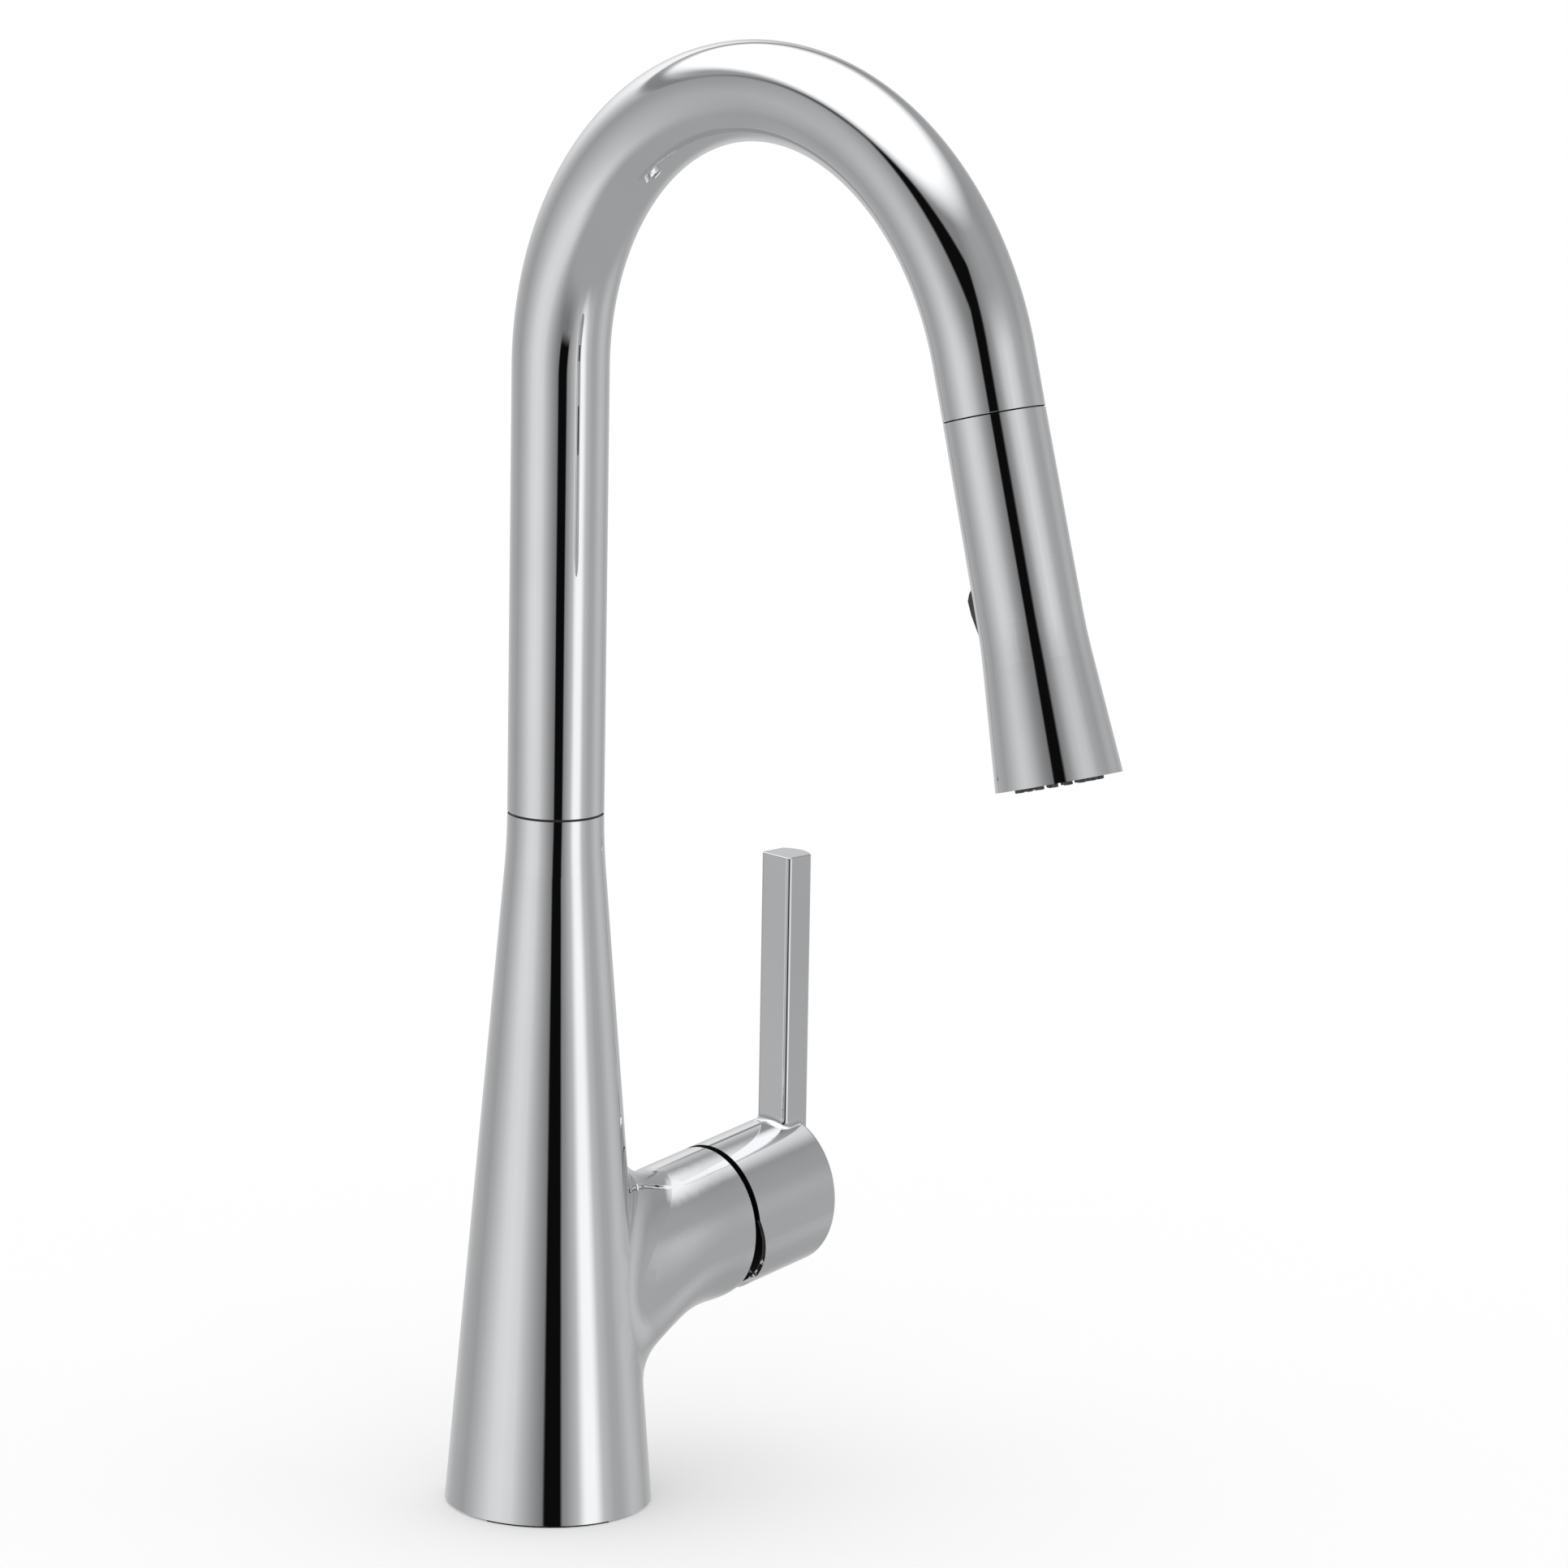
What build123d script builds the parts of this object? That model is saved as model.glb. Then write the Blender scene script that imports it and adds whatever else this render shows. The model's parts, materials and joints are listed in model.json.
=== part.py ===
from build123d import *

import os
from math import cos, radians, sin, sqrt, tan

os.makedirs("parts", exist_ok=True)

# Pull down kitchen faucet, in millimetres. The origin is the middle of the base on the deck,
# +Z is up, the spout reaches towards -Y and the mixing valve and its lever stand on the +X side.

# ---- clearances ----
running_gap = 0.05        # radial clearance of a shaft that turns or slides in its bore
fit_gap = 0.02            # clearance of a piece that is fixed in its seat
loose_gap = 0.3           # clearance of pieces that pass each other freely
past = 1.0                # cuts run this far past the face that they open

# ---- column ----
base_radius = 30.4        # outer radius on the deck
cone_top_radius = 14.65   # where the straight taper ends
cone_top_height = 190.0
column_height = 206.2     # seam between the column and the turning spout
base_edge = 0.6           # chamfer
throat_wall = 5.0         # wall between the upper cavity and the taper
block_drop = 23.4         # the solid valve block reaches this far below the valve's axis
block_rise = 14.6         # and this far above it
spout_bore_radius = 12.6  # bore that carries the spout's bushes
spout_bore_bottom = 142.0
lip_thickness = 2.0       # step under the spout bore that the snap ring catches
bush_length = 10.0
bush_wall = 2.0

# ---- spout ----
tube_radius = 14.0
tube_wall = 1.2
seam_washer_thickness = 0.5
arch_start = 336.3        # height where the straight tube turns into the arch
arch_radius = 87.3
spout_lean = 16.2         # degrees from straight down at the outlet
outlet_leg = 15.4         # straight tube after the arch
sleeve_wall = 2.0
sleeve_grip = 18.0        # length of the sleeve inside the tube
sleeve_tail = 2.2         # length of the sleeve past its snap ring
snap_ring_gap = 0.1       # between the snap ring and the lip
snap_ring_thickness = 1.2
snap_ring_seat = 0.6      # depth of its groove in the sleeve
snap_ring_reach = 0.9     # how far it stands out past the lip's bore
snap_ring_opening = 6.0
spout_seal_heights = (170.0, 180.0)
spout_seal_thickness = 2.5

# ---- valve hub, cartridge and lever ----
hub_axis_height = 63.1    # where the hub's rising axis crosses the column's axis
valve_rise = 10.3         # the axis that the lever turns about lies this far above that
hub_radius = 22.1
hub_rise = 9.3            # degrees that the hub rises towards the lever
hub_face = 61.3           # mouth of the hub
hub_arc_radius = 49.0     # curve under the hub, flat at the mouth
hub_arc_reach = 38.0      # the curve ends this far behind the mouth, inside the column
hub_depth = 56.4          # the hub is built from this far behind its mouth
hub_sections = 6
hub_fillet = 18.0
handle_face = 63.0        # the lever cap's face across the seam
handle_end = 93.3         # rim of the cap's outer end
handle_dome = 4.0         # how far the cap's end bulges
relief_rise = 4.6         # the cap is cut back from this far above the valve's axis down
relief_depth = 5.4        # so that it can tip
relief_middle_depth = 3.6
relief_middle_drop = 7.9  # below the valve's axis
pivot_x = 50.0            # axis that the lever tips about for flow
flow_angle = 15.0
lever_inner = 87.0        # flat inner face of the lever
lever_side = 95.9         # the lever's flat sides end here
lever_crown = 98.4        # middle of its curved outer face
lever_width = 12.3
lever_top = 181.1
lever_corner = 1.4        # rounding of the inner edges
lever_outer_edge = 0.7
lever_top_edge = 0.47
lever_curve_start = 108.0
lever_curve_radius = 258.0
lever_root_fillet = 2.5
cap_edge = 0.8
cartridge_radius = 12.5
cartridge_wall = 1.0
cartridge_base = 4.0
cartridge_floor = 30.0    # bottom of the cartridge's bore in the hub
flange_thickness = 2.0
nut_radius = 16.0         # thread that holds the cartridge
nut_length = 5.0
nut_bore = 10.5
nut_slot_width = 4.0
nut_slot_length = 3.0
nut_slot_depth = 1.5
bonnet_thread = 13.5
bonnet_thread_length = 3.0
bonnet_lip = 2.6
bonnet_radius = 21.6      # ball-shaped ring about the pivot, seen in the seam
bonnet_wall = 1.4
bonnet_mouth = 8.5
handle_hollow = 22.4      # ball-shaped hollow of the cap about the pivot
port_radius = 2.2
port_seal_radius = 3.1
port_seal_thickness = 1.2
disc_thickness = 3.0
disc_radius = 9.0
mixing_width = 11.7       # hollow in the moving disc that joins the ports
mixing_height = 9.0
driver_thickness = 5.0
driver_flat = 8.0         # half the driver's width between its guides
driver_floor = 0.5        # wall under the ball's socket
stem_width = 6.8
stem_height = 8.0
stem_length = 34.0        # from the pivot to the stem's outer end
stem_ball_arm = 7.0       # from the pivot to the ball that drives the disc
stem_ball_radius = 2.0
stem_neck_radius = 1.4
stem_slot = 10.0
stem_shoulder = 4.0       # the stem's flats start this far behind the pivot
pin_radius = 1.5
pin_length = 20.0
screw_radius = 2.5
screw_length = 7.0
screw_place = 28.0        # along the stem from the pivot
screw_socket = 1.45
screw_socket_depth = 3.0
screw_plug_radius = 3.2
screw_plug_seat = 17.0
screw_plug_end = 21.7
screw_plug_edge = 0.3

# ---- supply and mounting ----
shank_radius = 16.5
shank_bore = 15.0
shank_length = 62.0       # below the deck face
shank_grip = 11.5         # screwed into the base
shank_edge = 0.6
deck_thickness = 20.0
washer_radius = 28.0
rubber_washer_thickness = 3.0
steel_washer_thickness = 2.0
mounting_nut_height = 9.0
mounting_nut_radius = 27.0
mounting_nut_edge = 0.8
nut_stand_off = 1.0       # the screws press the washer, not the nut
clamp_screw_circle = 21.5
clamp_screw_length = 16.0
clamp_head_radius = 4.2
clamp_head_height = 3.0
clamp_socket_radius = 2.3
clamp_socket_depth = 2.0
supply_radius = 3.0
supply_wall = 0.8
supply_bottom = 90.0      # the supply tubes end this far below the deck face
supply_grip = 8.0         # length of each tube inside the valve block
supply_end = 16.0         # plain end of each tube, below the groove that stops its coupling
groove_width = 2.0
groove_depth = 0.4
supply_offset = 7.0       # hot and cold tubes, either side of the lever's plane
supply_circle = 11.0      # distance of the hot and cold tubes from the column's axis
outlet_circle = 11.2      # and of the mixed water tube
base_hollow = 19.5        # radius of the hollow between the shank and the valve block
gasket_inner = 20.0
gasket_outer = 28.0
gasket_thickness = 2.0
guide_thickness = 6.0

# ---- pull down hose ----
hose_radius = 5.5
hose_bore = 3.5
hose_bottom = 100.0       # the hose ends this far below the deck face
hose_passage = 6.2
hose_end = -13.0          # the hose's moving end starts here, measured from the head's seam
tail_fitting_length = 22.0
tail_collar_length = 8.0
tail_collar = 1.5         # how far the collar stands out past the hose
tail_bore = 2.5
ferrule_wall = 0.9
nipple_length = 12.6      # inside the hose
nipple_bore = 2.4
nipple_flange = 2.0

# ---- spray head, measured along its axis from the seam at the spout's outlet ----
head_length = 100.3
head_flare_start = 61.6
head_waist_radius = 14.45
head_end_radius = 17.4
head_wall = 2.0
head_roof = 2.8           # underside of the shell's top
flare_blend = 160.0       # radius that blends the waist into the flare
neck_radius = 10.0
neck_length = 7.5
neck_bore = 7.6
docking_ring_height = 1.5
magnet_top = -12.4
magnet_bottom = -8.2
magnet_bore = 9.0
magnet_radius = 11.6
dock_gap = 0.25           # around the head's neck in the dock
swivel_top = 3.3
swivel_nut_wall = 1.1
swivel_thread = 3.0
washer_bore = 4.0
flange_top = 4.6
flange_radius = 7.3
waterway_radius = 8.3
waterway_top = 8.0
waterway_bore = 3.0
valve_bore = 4.6
valve_bore_length = 18.0
check_valve_bore = 2.2
check_valve_start = 4.0   # below the waterway's top
check_valve_length = 10.0
chamber_top = 84.0
chamber_bottom = 95.3
chamber_radius = 13.4
chamber_bore = 11.4
chamber_roof = 2.0
chamber_inlet = 3.0       # the waterway's bore reaches this far into the chamber
head_seal_place = 88.0
head_seal_thickness = 1.9
head_seal_rise = 0.1      # the seal's middle lies this far inside the chamber's wall
button_middle = 52.0
button_length = 15.6
button_width = 10.4
button_corner = 2.6
button_height = 17.3      # distance of the button's crest from the head's axis
button_crown = 0.4        # how far the crest falls towards the button's middle
button_top_edge = 14.7    # heights of the button's outline, down its length
button_slope_start = 15.3
button_slope_end = 14.9
button_bottom_edge = 14.6
button_floor = 11.5
button_web_width = 7.6
button_web_length = 3.6
button_web_depth = 1.15   # below the pin
button_pin = 9.9
button_pin_radius = 0.75
button_pin_overhang = 0.6
window_margin = 0.2       # around the button in the shell
window_extra = 0.72       # more room at the end that rocks inwards
ear_thickness = 1.1
ear_length = 4.4
ear_reach = 1.2           # above the pin
ear_root = 1.5            # sunk into the waterway
spool_arm = 5.0           # from the button's pin to the spool that it pushes
spool_radius = 2.5
spool_rod_radius = 1.5
spool_bottom = -4.2
spool_stroke = 1.1        # room under the spool, which the button pushes in by 0.7
spool_bore_floor = spool_bottom - spool_stroke
spool_shoulder = 7.5
spool_seal_heights = (-3.6, 5.2)
spool_seal_thickness = 0.85
mat_thickness = 1.4
mat_radius = 13.6
plate_top = 96.8
plate_bottom = 99.4
plate_radius = 15.0
nozzle_tip = 101.3
nozzle_radius = 0.9
nozzle_bore = 0.35
nozzle_taper = 2.0        # degrees
mat_gap = 0.2             # between the mat and the aerator
aerator_radius = 6.2
aerator_wall = 1.0
aerator_sink = 4.0        # the aerator reaches this far into the chamber
aerator_rise = 0.5        # how far it stands out of the plate
screen_thickness = 0.6
screen_pitch = 1.5
screen_hole = 1.05
screen_count = 5
upper_screen = 2.0        # below the aerator's top
lower_screen = 1.5        # above the plate's face
nozzle_rings = ((8.2, 12), (11.3, 18))

# ---- places worked out from the sizes above ----


def cone_radius(height):
    """Outer radius of the column's straight taper."""
    return base_radius + (cone_top_radius - base_radius) * height / cone_top_height


def arch_point(turned):
    """Point on the arch's centre line after a turn in degrees."""
    along = arch_radius * (1 - cos(radians(turned)))
    return Vector(0, -along, arch_start + arch_radius * sin(radians(turned)))


def hub_height(x):
    """Height of the hub's rising axis at a distance x from the column's axis."""
    return hub_axis_height + x * tan(radians(hub_rise))


seam_top = column_height + seam_washer_thickness
valve_height = hub_axis_height + valve_rise
block_bottom = valve_height - block_drop
block_top = valve_height + block_rise
relief_top = valve_height + relief_rise
relief_middle = (handle_face + relief_middle_depth, valve_height - relief_middle_drop)
outlet_turn = 180.0 - spout_lean
outlet = Vector(0, -sin(radians(spout_lean)), -cos(radians(spout_lean)))
head_seam = arch_point(outlet_turn) + outlet * outlet_leg
head_plane = Plane(origin=head_seam, x_dir=(1, 0, 0), z_dir=outlet)
button_plane = Plane(
    origin=head_seam + outlet * button_middle, x_dir=(1, 0, 0), z_dir=-head_plane.y_dir
)
button_side = Plane(origin=button_plane.origin, x_dir=button_plane.z_dir, z_dir=(-1, 0, 0))
button_pin_plane = Plane(
    origin=button_plane.origin + button_plane.z_dir * button_pin,
    x_dir=(0, 1, 0),
    z_dir=(1, 0, 0),
)
spool_plane = Plane(
    origin=button_plane.origin - outlet * spool_arm, x_dir=(1, 0, 0), z_dir=button_plane.z_dir
)
valve_plane = Plane(origin=(0, 0, valve_height), x_dir=(0, 1, 0), z_dir=(1, 0, 0))
pivot_plane = valve_plane.offset(pivot_x)
hub_plane = Plane(
    origin=(0, 0, hub_axis_height),
    x_dir=(0, 1, 0),
    z_dir=(cos(radians(hub_rise)), 0, sin(radians(hub_rise))),
)
stem_tilt = flow_angle / 2
stem_plane = Plane(
    origin=pivot_plane.origin,
    x_dir=(0, 1, 0),
    z_dir=(cos(radians(stem_tilt)), 0, sin(radians(stem_tilt))),
)
screw_plane = Plane(
    origin=stem_plane.origin + stem_plane.z_dir * screw_place, x_dir=(1, 0, 0), z_dir=(0, 1, 0)
)
hub_half_height = hub_radius / cos(radians(hub_rise))
hub_low = hub_height(hub_face) - hub_half_height
dome_radius = (hub_half_height**2 + handle_dome**2) / (2 * handle_dome)
tube_bore = tube_radius - tube_wall
sleeve_radius = spout_bore_radius - bush_wall
sleeve_bore = sleeve_radius - sleeve_wall
lip_radius = sleeve_radius + 2 * loose_gap
lip_bottom = spout_bore_bottom - lip_thickness
snap_end = lip_bottom - snap_ring_gap
snap_start = snap_end - snap_ring_thickness
snap_seat = sleeve_radius - snap_ring_seat
spout_seal_radius = spout_bore_radius - running_gap - spout_seal_thickness / 2
spool_seal_radius = spool_radius + running_gap / 2 - spool_seal_thickness / 2
head_seal_radius = chamber_radius - head_seal_rise
washer_top = -deck_thickness
rubber_bottom = washer_top - rubber_washer_thickness
steel_bottom = rubber_bottom - steel_washer_thickness
nut_top = steel_bottom - nut_stand_off
nut_bottom = nut_top - mounting_nut_height
aerator_top = chamber_bottom - aerator_sink
fixed_disc = cartridge_floor + cartridge_base
moving_disc = fixed_disc + disc_thickness + fit_gap
driver = moving_disc + disc_thickness + fit_gap
driver_end = driver + driver_thickness
disc_drop = stem_ball_arm * sin(radians(stem_tilt))
housing_bore = cartridge_radius - cartridge_wall
housing_end = hub_face - nut_length - fit_gap
flange_start = housing_end - flange_thickness
carrier_end = pivot_x + 2 * pin_radius
supply_along = sqrt(supply_circle**2 - supply_offset**2)
supply_places = (
    (supply_along, supply_offset),
    (supply_along, -supply_offset),
    (outlet_circle, 0.0),
)
port_places = ((supply_offset, 1.5), (-supply_offset, 1.5), (0.0, -6.0))


def turn(plane, *outline):
    """Revolve a closed outline of (radius, height) points about the plane's normal."""
    section = Plane(origin=plane.origin, x_dir=plane.x_dir, z_dir=-plane.y_dir)
    with BuildSketch(section) as face:
        with BuildLine():
            Polyline(*outline, close=True)
        make_face()
    return revolve(face.sketch, axis=Axis(plane.origin, plane.z_dir), mode=Mode.PRIVATE)


def ring(plane, outer, inner, start, end):
    """A plain ring about the plane's normal between two heights."""
    return turn(plane, (inner, start), (outer, start), (outer, end), (inner, end))


def rod(plane, radius, start, end, x=0.0, y=0.0):
    """A round bar along the plane's normal between two heights, x and y from its origin."""
    with BuildSketch(plane.offset(start)) as face:
        with Locations((x, y)):
            Circle(radius)
    return extrude(face.sketch, amount=end - start, mode=Mode.PRIVATE)


def bar(plane, width, depth, start, end, x=0.0, y=0.0):
    """A rectangular bar along the plane's normal between two heights."""
    with BuildSketch(plane.offset(start)) as face:
        with Locations((x, y)):
            Rectangle(width, depth)
    return extrude(face.sketch, amount=end - start, mode=Mode.PRIVATE)


def seal(plane, radius, thickness, height):
    """An O-ring, from its middle radius, its thickness and its height on the normal."""
    section = Plane(origin=plane.origin, x_dir=plane.x_dir, z_dir=-plane.y_dir)
    with BuildSketch(section) as face:
        with Locations((radius, height)):
            Circle(thickness / 2)
    return revolve(face.sketch, axis=Axis(plane.origin, plane.z_dir), mode=Mode.PRIVATE)


def bent_tube(outer, inner, start_height, leg):
    """A tube up the column's axis, over the arch and down the outlet by a leg's length."""
    with BuildLine() as path:
        Line((0, 0, start_height), (0, 0, arch_start))
        ThreePointArc(arch_point(0), arch_point(outlet_turn / 2), arch_point(outlet_turn))
        Line(arch_point(outlet_turn), arch_point(outlet_turn) + outlet * leg)
    with BuildSketch(Plane.XY.offset(start_height)) as section:
        Circle(outer)
        Circle(inner, mode=Mode.SUBTRACT)
    return sweep(section.sketch, path=path.line, mode=Mode.PRIVATE)


def port_plane(place):
    """Plane about one of the cartridge's ports, facing along the valve's axis."""
    across, up = place
    return Plane(origin=(0, across, valve_height + up), x_dir=(0, 1, 0), z_dir=(1, 0, 0))


def save(piece, name):
    """Name a finished piece and write it as its own file."""
    piece.part.label = name
    export_step(piece.part, f"parts/{name}.step")


# ---- column, fixed to the deck ----

with BuildPart() as body_casting:
    with BuildSketch(Plane.XZ):
        with BuildLine():
            Line((base_radius, 0), (cone_top_radius, cone_top_height))
            Spline(
                (cone_top_radius, cone_top_height),
                (tube_radius, column_height),
                tangents=((cone_top_radius - base_radius, cone_top_height), (0, 1)),
            )
            Polyline((tube_radius, column_height), (0, column_height), (0, 0), (base_radius, 0))
        make_face()
    revolve(axis=Axis.Z)
    chamfer(edges().group_by(Axis.Z)[0], length=base_edge)
    for step in range(hub_sections):
        hub_x = hub_face - step * hub_depth / (hub_sections - 1)
        reach = min(hub_face - hub_x, hub_arc_reach)
        high = hub_height(hub_x) + hub_half_height
        low = hub_low - hub_arc_radius + sqrt(hub_arc_radius**2 - reach**2)
        with BuildSketch(Plane.YZ.offset(hub_x)):
            with Locations((0, (high + low) / 2)):
                Ellipse(hub_radius, (high - low) / 2)
    loft()
    hub_root = edges(Select.LAST).filter_by(
        lambda edge: edge.bounding_box().max.X < hub_face
        and edge.bounding_box().size.Y > hub_radius / 2
    )
    fillet(hub_root, radius=hub_fillet)
    add(rod(Plane.XY, shank_radius + fit_gap, -past, shank_grip + loose_gap), mode=Mode.SUBTRACT)
    add(
        ring(Plane.XY, gasket_outer, gasket_inner, -past, gasket_thickness),
        mode=Mode.SUBTRACT,
    )
    add(rod(Plane.XY, base_hollow, shank_grip + loose_gap, block_bottom), mode=Mode.SUBTRACT)
    add(rod(Plane.XY, hose_passage, block_bottom - past, block_top + past), mode=Mode.SUBTRACT)
    add(
        turn(
            Plane.XY,
            (0, block_top),
            (cone_radius(block_top) - throat_wall, block_top),
            (cone_radius(lip_bottom) - throat_wall, lip_bottom),
            (lip_radius, lip_bottom),
            (lip_radius, spout_bore_bottom),
            (spout_bore_radius, spout_bore_bottom),
            (spout_bore_radius, column_height + past),
            (0, column_height + past),
        ),
        mode=Mode.SUBTRACT,
    )
    add(
        rod(valve_plane, cartridge_radius + fit_gap, cartridge_floor, hub_face + past),
        mode=Mode.SUBTRACT,
    )
    add(rod(valve_plane, nut_radius + fit_gap, flange_start, hub_face + past), mode=Mode.SUBTRACT)
    for (tube_x, tube_y), (port_y, port_up) in zip(supply_places, port_places):
        port_height = valve_height + port_up
        add(
            rod(valve_plane, port_radius, tube_x, cartridge_floor + past, port_y, port_up),
            mode=Mode.SUBTRACT,
        )
        add(
            rod(Plane.XY, port_radius, block_bottom - past, port_height, tube_x, tube_y),
            mode=Mode.SUBTRACT,
        )
        add(
            rod(
                Plane.XY,
                supply_radius + fit_gap,
                block_bottom - past,
                block_bottom + supply_grip,
                tube_x,
                tube_y,
            ),
            mode=Mode.SUBTRACT,
        )
save(body_casting, "body_casting")

with BuildPart() as base_gasket:
    add(ring(Plane.XY, gasket_outer - fit_gap, gasket_inner + fit_gap, 0, gasket_thickness))
save(base_gasket, "base_gasket")

with BuildPart() as seam_washer:
    add(
        ring(
            Plane.XY,
            tube_radius - 2 * loose_gap,
            sleeve_radius + loose_gap,
            column_height,
            seam_top - fit_gap,
        )
    )
save(seam_washer, "seam_washer")

for name, bush_start in (
    ("lower_spout_bush", spout_bore_bottom),
    ("upper_spout_bush", column_height - bush_length - loose_gap),
):
    with BuildPart() as spout_bush:
        add(
            ring(
                Plane.XY,
                spout_bore_radius - fit_gap,
                sleeve_radius + running_gap,
                bush_start,
                bush_start + bush_length,
            )
        )
    save(spout_bush, name)

# ---- mounting under the deck ----

with BuildPart() as mounting_shank:
    add(ring(Plane.XY, shank_radius, shank_bore, -shank_length, shank_grip))
    chamfer(edges().group_by(Axis.Z)[0].sort_by(SortBy.RADIUS)[-1], length=shank_edge)
save(mounting_shank, "mounting_shank")

with BuildPart() as deck_washer:
    add(ring(Plane.XY, washer_radius, shank_radius + loose_gap, rubber_bottom, washer_top))
save(deck_washer, "deck_washer")

with BuildPart() as clamp_washer:
    add(ring(Plane.XY, washer_radius, shank_radius + loose_gap, steel_bottom, rubber_bottom))
save(clamp_washer, "clamp_washer")

with BuildPart() as mounting_nut:
    with BuildSketch(Plane.XY.offset(nut_bottom)):
        RegularPolygon(radius=mounting_nut_radius, side_count=6)
        Circle(shank_radius + fit_gap, mode=Mode.SUBTRACT)
        with PolarLocations(clamp_screw_circle, 2):
            Circle(screw_radius + fit_gap, mode=Mode.SUBTRACT)
    extrude(amount=mounting_nut_height)
    chamfer(edges().filter_by(GeomType.LINE).group_by(Axis.Z)[0], length=mounting_nut_edge)
save(mounting_nut, "mounting_nut")

with BuildPart() as clamp_screws:
    with BuildSketch(Plane.XY.offset(steel_bottom)):
        with PolarLocations(clamp_screw_circle, 2):
            Circle(screw_radius)
    extrude(amount=-clamp_screw_length)
    with BuildSketch(Plane.XY.offset(steel_bottom - clamp_screw_length)):
        with PolarLocations(clamp_screw_circle, 2):
            Circle(clamp_head_radius)
    extrude(amount=-clamp_head_height)
    with BuildSketch(Plane.XY.offset(steel_bottom - clamp_screw_length - clamp_head_height)):
        with PolarLocations(clamp_screw_circle, 2):
            RegularPolygon(radius=clamp_socket_radius, side_count=6)
    extrude(amount=clamp_socket_depth, mode=Mode.SUBTRACT)
save(clamp_screws, "clamp_screws")

for name, (tube_x, tube_y) in zip(
    ("hot_supply_tube", "cold_supply_tube", "outlet_tube"), supply_places
):
    with BuildPart() as supply_tube:
        with BuildSketch(Plane.XY.offset(-supply_bottom)):
            with Locations((tube_x, tube_y)):
                Circle(supply_radius)
                Circle(supply_radius - supply_wall, mode=Mode.SUBTRACT)
        extrude(amount=supply_bottom + block_bottom + supply_grip)
        groove = supply_end - supply_bottom
        groove_plane = Plane(origin=(tube_x, tube_y, 0), x_dir=(1, 0, 0), z_dir=(0, 0, 1))
        add(
            ring(groove_plane, supply_radius + past, supply_radius - groove_depth, groove,
                 groove + groove_width),
            mode=Mode.SUBTRACT,
        )
    save(supply_tube, name)

with BuildPart() as hose_guide:
    add(rod(Plane.XY, shank_bore - fit_gap, -shank_length, guide_thickness - shank_length))
    add(rod(Plane.XY, hose_radius + loose_gap, -shank_length, 0), mode=Mode.SUBTRACT)
    for tube_x, tube_y in supply_places:
        add(
            rod(Plane.XY, supply_radius + fit_gap, -shank_length, 0, tube_x, tube_y),
            mode=Mode.SUBTRACT,
        )
save(hose_guide, "hose_guide")

# ---- mixing cartridge, fixed pieces ----

with BuildPart() as cartridge_housing:
    add(rod(valve_plane, cartridge_radius, cartridge_floor, housing_end))
    add(rod(valve_plane, nut_radius - fit_gap, flange_start, housing_end))
    add(rod(valve_plane, housing_bore, fixed_disc, housing_end + past), mode=Mode.SUBTRACT)
    for place in port_places:
        at = port_plane(place)
        add(rod(at, port_radius, cartridge_floor - past, fixed_disc + past), mode=Mode.SUBTRACT)
        half = port_seal_thickness / 2 + fit_gap
        add(
            ring(at, port_seal_radius + half, port_seal_radius - half, cartridge_floor - past,
                 cartridge_floor + 2 * half),
            mode=Mode.SUBTRACT,
        )
save(cartridge_housing, "cartridge_housing")

with BuildPart() as cartridge_seals:
    for place in port_places:
        add(seal(port_plane(place), port_seal_radius, port_seal_thickness,
                 cartridge_floor + port_seal_thickness / 2))
save(cartridge_seals, "cartridge_seals")

with BuildPart() as fixed_ceramic_disc:
    add(rod(valve_plane, housing_bore - fit_gap, fixed_disc, fixed_disc + disc_thickness))
    for place in port_places:
        add(
            rod(port_plane(place), port_radius, fixed_disc - past, moving_disc + past),
            mode=Mode.SUBTRACT,
        )
save(fixed_ceramic_disc, "fixed_ceramic_disc")

with BuildPart() as cartridge_cover:
    add(ring(valve_plane, housing_bore - fit_gap, bonnet_mouth, carrier_end + running_gap,
             housing_end))
save(cartridge_cover, "cartridge_cover")

with BuildPart() as cartridge_nut:
    add(ring(valve_plane, nut_radius, nut_bore, housing_end + fit_gap, hub_face))
    add(ring(valve_plane, bonnet_thread, nut_bore, hub_face, hub_face + bonnet_thread_length))
    with BuildSketch(valve_plane.offset(hub_face + bonnet_thread_length - nut_slot_depth)):
        with PolarLocations(bonnet_thread - nut_slot_length / 2, 4):
            Rectangle(nut_slot_width, nut_slot_length)
    extrude(amount=nut_slot_depth, mode=Mode.SUBTRACT)
save(cartridge_nut, "cartridge_nut")

with BuildPart() as bonnet_ring:
    bonnet_start = hub_face + running_gap - pivot_x
    bonnet_section = Plane(
        origin=pivot_plane.origin, x_dir=pivot_plane.x_dir, z_dir=-pivot_plane.y_dir
    )
    with BuildSketch(bonnet_section):
        Circle(bonnet_radius)
        Circle(bonnet_radius - bonnet_wall, mode=Mode.SUBTRACT)
        with Locations((bonnet_mouth, bonnet_start)):
            Rectangle(bonnet_radius, bonnet_radius, align=Align.MIN, mode=Mode.INTERSECT)
        with Locations((bonnet_thread + fit_gap, bonnet_start)):
            Rectangle(bonnet_lip, bonnet_lip, align=Align.MIN)
    revolve(axis=Axis(pivot_plane.origin, pivot_plane.z_dir))
save(bonnet_ring, "bonnet_ring")

# ---- mixing cartridge, moving pieces ----

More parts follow.
